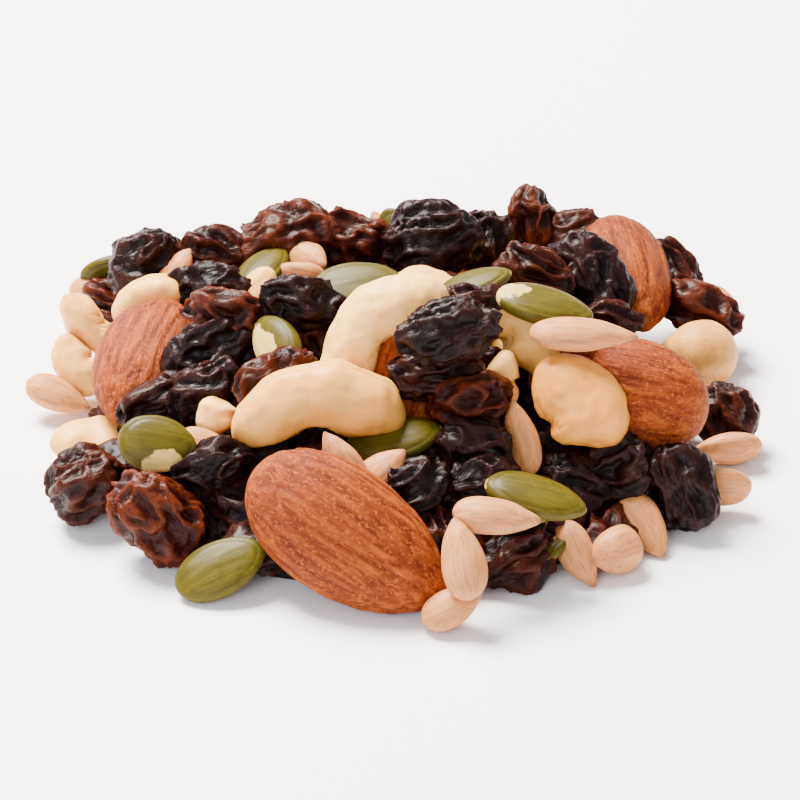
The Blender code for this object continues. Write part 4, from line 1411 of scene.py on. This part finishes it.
@dataclass(frozen=True)
class Bare:
    """A piece before its relief: its skin's points in its own axes, in mm, and the same points on the ball."""

    own: np.ndarray
    ball: np.ndarray
    one: Laid

    def noise(self, pitch: float | Triple, number: int) -> np.ndarray:
        """Makes the noise of a number over the skin, its lumps of one size in mm, or of three along the axes."""
        return gradient_noise(self.own / pitch, self.one.seed + number)

    def near_ends(self, start: float) -> np.ndarray:
        """Rises from 0 at a share of the half length to 1 at both ends."""
        return np.clip((np.abs(self.ball[:, 0]) - start) / (1 - start), 0, 1)


@dataclass(frozen=True)
class Skin:
    """A piece's relief: how far each point moves out in mm, and its relief and mark for the finish, from 0 to 1."""

    out: np.ndarray
    relief: np.ndarray
    mark: np.ndarray


@dataclass
class Scattered:
    """Pieces of one kind that lie in the heap, joined into one mesh of real pieces."""

    name: str
    kind: Kind
    finish: Finish
    fineness: int = 5
    hidden_fineness: int = 4
    big_mm: float = math.inf
    least_tone: float = -math.inf
    most_tone: float = math.inf
    noise_steps: Triple = (3.7, 7.9, 1.3)
    noise_room: float = 50
    hidden_shift: float = 20

    def takes(self, one: Laid) -> bool:
        """Tells whether a piece is one of these."""
        return one.kind is self.kind and self.least_tone <= one.tone < self.most_tone

    def skin(self, bare: Bare) -> Skin:
        """Works out the relief of a piece, which each kind does in its own way."""
        raise NotImplementedError

    def shaped(self, one: Laid, box: tuple[np.ndarray, np.ndarray]) -> tuple[bpy.types.Mesh, dict[str, np.ndarray]]:
        """Makes one piece in its place.

        Args:
            one: The piece.
            box: Lowest and highest corner of the CAD model, in mm.

        Returns:
            Its mesh in metres, and the attributes of its points.
        """
        fineness = self.fineness + (one.size[0] > self.big_mm) if one.shown else self.hidden_fineness
        ball_mesh, ball = fine_ball(fineness)
        mesh = ball_mesh.copy()
        form = one.form(ball)
        mesh.vertices.foreach_set("co", form.astype(np.float32).ravel())
        mesh.update()
        normals = np.empty(len(ball) * 3, np.float32)
        mesh.vertex_normals.foreach_get("vector", normals)
        # Each piece reads its own place in the noise, so no two look the same.
        shift = np.array([one.seed * step % self.noise_room for step in self.noise_steps])
        shift += self.hidden_shift * (not one.shown)
        own = form + shift
        skin = self.skin(Bare(own, ball, one))
        moved = form + normals.reshape(-1, 3) * skin.out[:, None]
        placed = np.clip(moved @ one.axes.T + one.middle, *box)
        mesh.vertices.foreach_set("co", (placed * MM).astype(np.float32).ravel())
        mesh.update()
        tint = np.full(len(ball), one.tone)
        return mesh, {"own": own, "tint": tint, "relief": skin.relief, "mark": skin.mark}

    def build(self, laid: list[Laid], box: tuple[np.ndarray, np.ndarray]) -> bpy.types.Object:
        """Joins all pieces of the kind into one object and dresses it.

        Args:
            laid: All pieces of the heap.
            box: Lowest and highest corner of the CAD model, in mm.

        Returns:
            The object.
        """
        joined, found = bmesh.new(), []
        for one in filter(self.takes, laid):
            mesh, values = self.shaped(one, box)
            joined.from_mesh(mesh)
            bpy.data.meshes.remove(mesh)
            found.append(values)
        mesh = bpy.data.meshes.new(self.name)
        joined.to_mesh(mesh)
        joined.free()
        LOG.info("%s: %d pieces", self.name, len(found))
        values = {name: np.concatenate([each[name] for each in found]) for name in found[0]}
        return dressed(mesh, values, self.finish)


@dataclass
class Raisins(Scattered):
    """Raisins, whose skin lies in deep meandering folds."""

    kind: Kind = Kind.RAISIN
    finish: Finish = SunDriedGrapeSkin()
    lump_mm: float = 5.0
    lump_depth: float = 0.6
    wander_mm: float = 3.8
    wander_reach: float = 1.1
    crest_width: float = 0.5
    fold_mm: Triple = (4.6, 2.1, 2.1)
    fold_depth: float = 0.95
    wrinkle_mm: Triple = (2.4, 1.0, 1.0)
    wrinkle_depth: float = 0.36
    deepest: float = -1.3
    highest: float = 0.4

    def skin(self, bare: Bare) -> Skin:
        """Works out the folds: narrow crests between wide hollows, as where a skin has sunk in.

        Args:
            bare: The piece before its relief.

        Returns:
            Its relief.
        """
        wander = np.stack([bare.noise(self.wander_mm, number) for number in (11, 12, 13)], axis=1)
        bent = replace(bare, own=bare.own + self.wander_reach * wander)
        folds = 1 - np.minimum(np.abs(bent.noise(self.fold_mm, 2)) / self.crest_width, 1)
        wrinkles = 1 - np.minimum(np.abs(bent.noise(self.wrinkle_mm, 3)) / self.crest_width, 1)
        folds, wrinkles = folds**1.3, wrinkles**1.2
        height = self.lump_depth * (bare.noise(self.lump_mm, 1) - 0.2) + self.fold_depth * (folds - 0.62)
        height += self.wrinkle_depth * (wrinkles - 0.5)
        # The relief lets the finish paint the fold tops lighter as painted highlight and the creases darker as painted
        # shade.
        relief = np.clip(0.15 + 0.7 * folds + 0.2 * wrinkles, 0, 1)
        return Skin(np.clip(height, self.deepest, self.highest), relief, np.zeros(len(height)))


@dataclass
class Almonds(Scattered):
    """Whole almonds with furrows from end to end."""

    kind: Kind = Kind.ALMOND
    finish: Finish = DriedAlmondSkin()
    furrow_mm: Triple = (14.0, 1.3, 1.3)
    furrow_depth: float = 0.17
    furrow_width: float = 0.42
    rib_mm: Triple = (6.0, 0.55, 0.55)
    rib_depth: float = 0.09

    def skin(self, bare: Bare) -> Skin:
        """Works out the furrows, which fade towards the ends.

        Args:
            bare: The piece before its relief.

        Returns:
            Its relief.
        """
        furrows = -2.2 * np.maximum(self.furrow_width - np.abs(bare.noise(self.furrow_mm, 3)), 0)
        ribs = bare.noise(self.rib_mm, 4)
        fade = np.clip((1 - np.abs(bare.ball[:, 0])) * 6, 0.15, 1)
        height = fade * (self.furrow_depth * furrows + self.rib_depth * ribs)
        # The relief lets the finish paint the furrows darker as painted shade and the ribs paler as painted highlight.
        return Skin(height, np.clip(0.6 + furrows * 0.4 * fade + ribs * 0.35, 0, 1), np.zeros(len(height)))


@dataclass
class Cashews(Scattered):
    """Cashew kernels, lumpy, with a seam round them, and pinched and wrinkled in the hollow."""

    kind: Kind = Kind.CASHEW
    finish: Finish = PeeledCashewKernel()
    lump_mm: float = 4.6
    lump_depth: float = 0.62
    dent_mm: float = 1.5
    dent_depth: float = 0.17
    seam_depth: float = 0.1
    wrinkle_mm: Triple = (0.9, 2.5, 1.4)
    wrinkle_depth: float = 0.4
    pinch_depth: float = 0.9
    pinched_width: float = 8

    def skin(self, bare: Bare) -> Skin:
        """Works out the lumps, the dents, the seam, the wrinkles and the pinch.

        Args:
            bare: The piece before its relief.

        Returns:
            Its relief, its mark the tips.
        """
        x, y, z = bare.ball.T
        lumps, dents = bare.noise(self.lump_mm, 5), bare.noise(self.dent_mm, 6)
        seam = np.exp(-(((z - 0.12 * bare.noise(3.0, 7)) / 0.09) ** 2)) * np.clip(y * 2 + 0.6, 0, 1)
        hollow = np.clip(-y - 0.35, 0, 1) * np.clip(1 - np.abs(x) * 1.6, 0, 1)
        wrinkle = hollow * np.maximum(0.35 - np.abs(bare.noise(self.wrinkle_mm, 8)), 0) * 2.4
        pinch = np.exp(-(((x + 0.1) / 0.34) ** 2)) * np.clip(-y, 0, 1) ** 2
        height = self.lump_depth * (lumps - 0.25) + self.dent_depth * dents - self.seam_depth * seam
        height -= self.wrinkle_depth * wrinkle + self.pinch_depth * pinch * (bare.one.size[1] / self.pinched_width)
        # The relief lets the finish paint the creases, dents, seam and wrinkles darker as painted shade.
        relief = np.clip(0.55 + 0.25 * lumps + 0.25 * dents - 0.25 * seam - 0.7 * wrinkle, 0, 1)
        tips = bare.near_ends(0.86) * 0.45 + np.maximum(dents - 0.45, 0) * 0.5
        return Skin(height, relief, np.clip(tips, 0, 0.7))


@dataclass
class PumpkinSeeds(Scattered):
    """Pumpkin seeds with a raised rim, some peeled in places."""

    kind: Kind = Kind.PUMPKIN_SEED
    finish: Finish = GreenSeedCoat()
    rim_at: float = 0.84
    rim_width: float = 0.05
    rim_depth: float = 0.08
    streak_mm: Triple = (5.0, 0.9, 0.9)
    streak_depth: float = 0.07
    sunk: float = 0.04

    def skin(self, bare: Bare) -> Skin:
        """Works out the groove inside the rim, the pale ends and the peeled patch.

        Args:
            bare: The piece before its relief.

        Returns:
            Its relief, its mark where the coat is off.
        """
        x, y, _ = bare.ball.T
        groove = np.exp(-(((np.hypot(x, y) - self.rim_at) / self.rim_width) ** 2))
        streaks = bare.noise(self.streak_mm, 9)
        mark = bare.near_ends(0.9) * 0.55
        if bare.one.peel:
            at_x, at_y, reach = bare.one.peel
            mark = np.maximum(mark, np.clip(1.2 - 0.7 * np.hypot(x - at_x, y - at_y) / reach, 0, 1))
        height = -self.rim_depth * groove + self.streak_depth * streaks - self.sunk
        # The relief lets the finish paint the groove inside the rim darker as painted shade.
        return Skin(height, np.clip(0.6 - 0.35 * groove + 0.2 * streaks, 0, 1), mark)


@dataclass
class SunflowerKernels(Scattered):
    """Sunflower kernels, faintly ribbed from end to end."""

    kind: Kind = Kind.SUNFLOWER_KERNEL
    finish: Finish = HulledSunflowerKernel()
    rib_mm: Triple = (7.0, 0.75, 0.75)
    rib_depth: float = 0.07
    dent_mm: Triple = (3.5, 2.2, 2.2)
    dent_depth: float = 0.16

    def skin(self, bare: Bare) -> Skin:
        """Works out the ribs, one shallow dent and the browner point.

        Args:
            bare: The piece before its relief.

        Returns:
            Its relief, its mark the point.
        """
        ribs = bare.noise(self.rib_mm, 10)
        height = self.rib_depth * ribs + self.dent_depth * (bare.noise(self.dent_mm, 11) - 0.3)
        point = np.clip((bare.ball[:, 0] - 0.82) / 0.18, 0, 1) * 0.7
        return Skin(height, np.clip(0.6 + 0.4 * ribs, 0, 1), point)


@dataclass
class RoundNut(Scattered):
    """The one round nut, with a nub at its end."""

    kind: Kind = Kind.ROUND_NUT
    finish: Finish = SkinnedHazelnut()
    lump_mm: float = 3.0
    lump_depth: float = 0.22

    def skin(self, bare: Bare) -> Skin:
        """Works out the low lumps and the browner nub.

        Args:
            bare: The piece before its relief.

        Returns:
            Its relief, its mark the nub.
        """
        lumps = bare.noise(self.lump_mm, 12)
        nub = np.clip((bare.ball[:, 0] - 0.9) / 0.1, 0, 1) * 0.5
        return Skin(self.lump_depth * (lumps - 0.3), np.clip(0.6 + 0.3 * lumps, 0, 1), nub)


@dataclass
class HeapInside:
    """The heap's inside: a dark lumpy dome under the pieces, a little smaller than the CAD core."""

    mound: Mound
    name: str = "heap_inside"
    finish: Finish = PressedFruitAndPaintedShade()
    reach: float = 0.85
    rounding: float = 0.6
    lower_mm: float = 0.7
    lump_mm: float = 6.0
    lump_depth: float = 0.5
    least_mm: float = 0.05

    def build(self) -> bpy.types.Object:
        """Shapes the dome from a ball cut off at the floor, and dresses it.

        Returns:
            The object.
        """
        made, mound = bmesh.new(), self.mound
        bmesh.ops.create_icosphere(made, subdivisions=5, radius=1)
        cut = [*made.verts, *made.edges, *made.faces]
        bmesh.ops.bisect_plane(made, geom=cut, dist=1e-6, plane_co=(0, 0, 0), plane_no=(0, 0, -1), clear_outer=True)
        bmesh.ops.holes_fill(made, edges=[edge for edge in made.edges if edge.is_boundary], sides=0)
        bmesh.ops.triangulate(made, faces=[face for face in made.faces if len(face.verts) > 4])
        widest = self.reach * (1 - mound.core_sink / mound.height) ** (1 / mound.slope_power)
        points = np.array([v.co for v in made.verts])
        out = np.hypot(points[:, 0], points[:, 1])
        way = points[:, :2] / np.maximum(out, 1e-6)[:, None]
        far = widest * (1 - np.maximum(points[:, 2], 0)) ** self.rounding / np.maximum(mound.outwards(*way.T), 1e-6)
        plan = way * far[:, None]
        lumps = gradient_noise(np.column_stack([plan, 0 * out]) / self.lump_mm, 5)
        top = mound.core(plan[:, 0], plan[:, 1]) - self.lower_mm + self.lump_depth * (lumps - 0.5)
        height = np.where(points[:, 2] > 1e-4, np.maximum(top, self.least_mm), 0)
        own = np.column_stack([plan, height])
        for vert, at in zip(made.verts, own):
            vert.co = Vector(at) * MM
        bmesh.ops.recalc_face_normals(made, faces=made.faces)
        mesh = bpy.data.meshes.new(self.name)
        made.to_mesh(mesh)
        made.free()
        return dressed(mesh, {"own": own}, self.finish)


@dataclass
class Studio:
    """Plain pale floor, soft light and the camera at the picture's angle."""

    view: PictureView
    floor_half: float = 4.0
    floor_gap: float = 0.0002
    focal_px: float = 4080
    picture_px: int = 800
    sensor_mm: float = 36
    world: float = 1.0

    def floor(self) -> bpy.types.Object:
        """Makes the pale floor, just under the heap.

        Returns:
            The floor.
        """
        made = bmesh.new()
        bmesh.ops.create_grid(made, x_segments=1, y_segments=1, size=self.floor_half)
        bmesh.ops.translate(made, verts=made.verts, vec=(0, 0, -self.floor_gap))
        mesh = bpy.data.meshes.new("floor")
        made.to_mesh(mesh)
        made.free()
        material = bpy.data.materials.new("white_paper_sweep")
        material.use_nodes = True
        shader = material.node_tree.nodes["Principled BSDF"]
        shader.inputs["Base Color"].default_value = linear("#fdfbfd")
        shader.inputs["Roughness"].default_value = 0.7
        mesh.materials.append(material)
        return in_scene("floor", mesh)

    def lamp(self, name: str, at: Triple, size: float, watts: float, colour: str) -> None:
        """Hangs a square soft light that looks at the heap.

        Args:
            name: The light's name.
            at: Its place in metres.
            size: Its side in metres.
            watts: Its power.
            colour: Its colour.
        """
        light = bpy.data.lights.new(name, "AREA")
        light.shape, light.size, light.energy = "SQUARE", size, watts
        light.color = linear(colour)[:3]
        obj = in_scene(name, light)
        obj.location = at
        obj.rotation_euler = Vector(at).to_track_quat("Z", "Y").to_euler()

    def camera(self) -> None:
        """Sets the camera where the picture was taken from."""
        data = bpy.data.cameras.new("camera")
        data.sensor_width = self.sensor_mm
        data.lens = self.focal_px * self.sensor_mm / self.picture_px
        data.clip_start, data.clip_end = 0.01, 50
        obj = in_scene("camera", data)
        obj.location = Vector(self.view.eye) * MM
        obj.rotation_euler = Vector(self.view.towards).to_track_quat("Z", "Y").to_euler()
        bpy.context.scene.camera = obj

    def build(self) -> None:
        """Sets up the floor, the lights and the camera."""
        self.floor()
        world = bpy.data.worlds.new("white_tent")
        world.use_nodes = True
        background = world.node_tree.nodes["Background"]
        background.inputs["Color"].default_value = linear("#f7f6fb")
        background.inputs["Strength"].default_value = self.world
        bpy.context.scene.world = world
        self.lamp("top_softbox", (-0.25, 0.30, 0.62), 0.36, 40, "#fffaf2")
        self.lamp("front_fill", (-0.35, -0.75, 0.45), 0.5, 6, "#f4f6ff")
        self.camera()


def main() -> None:
    """Lays the heap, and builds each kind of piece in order."""
    logging.basicConfig(level=logging.INFO, format="%(message)s")
    layout = HeapLayout()
    laid = layout.lay_out()
    LOG.info("%d pieces laid", len(laid))
    box = tuple(np.array(corner) / MM for corner in CAD_BOX)
    kinds = [
        Raisins("raisins_dark", most_tone=BROWN_FROM),
        Raisins("raisins_brown", least_tone=BROWN_FROM),
        Almonds("almonds", fineness=6, hidden_fineness=5),
        Cashews("cashews", big_mm=14),
        PumpkinSeeds("pumpkin_seeds"),
        SunflowerKernels("sunflower_kernels"),
        RoundNut("round_nut", fineness=6),
    ]
    built = [kind.build(laid, box) for kind in kinds]
    built.append(HeapInside(layout.mound).build())
    for obj in built:
        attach(obj, "root")
        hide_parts(NODE)
    Studio(layout.view).build()


if __name__ == "__main__":
    main()
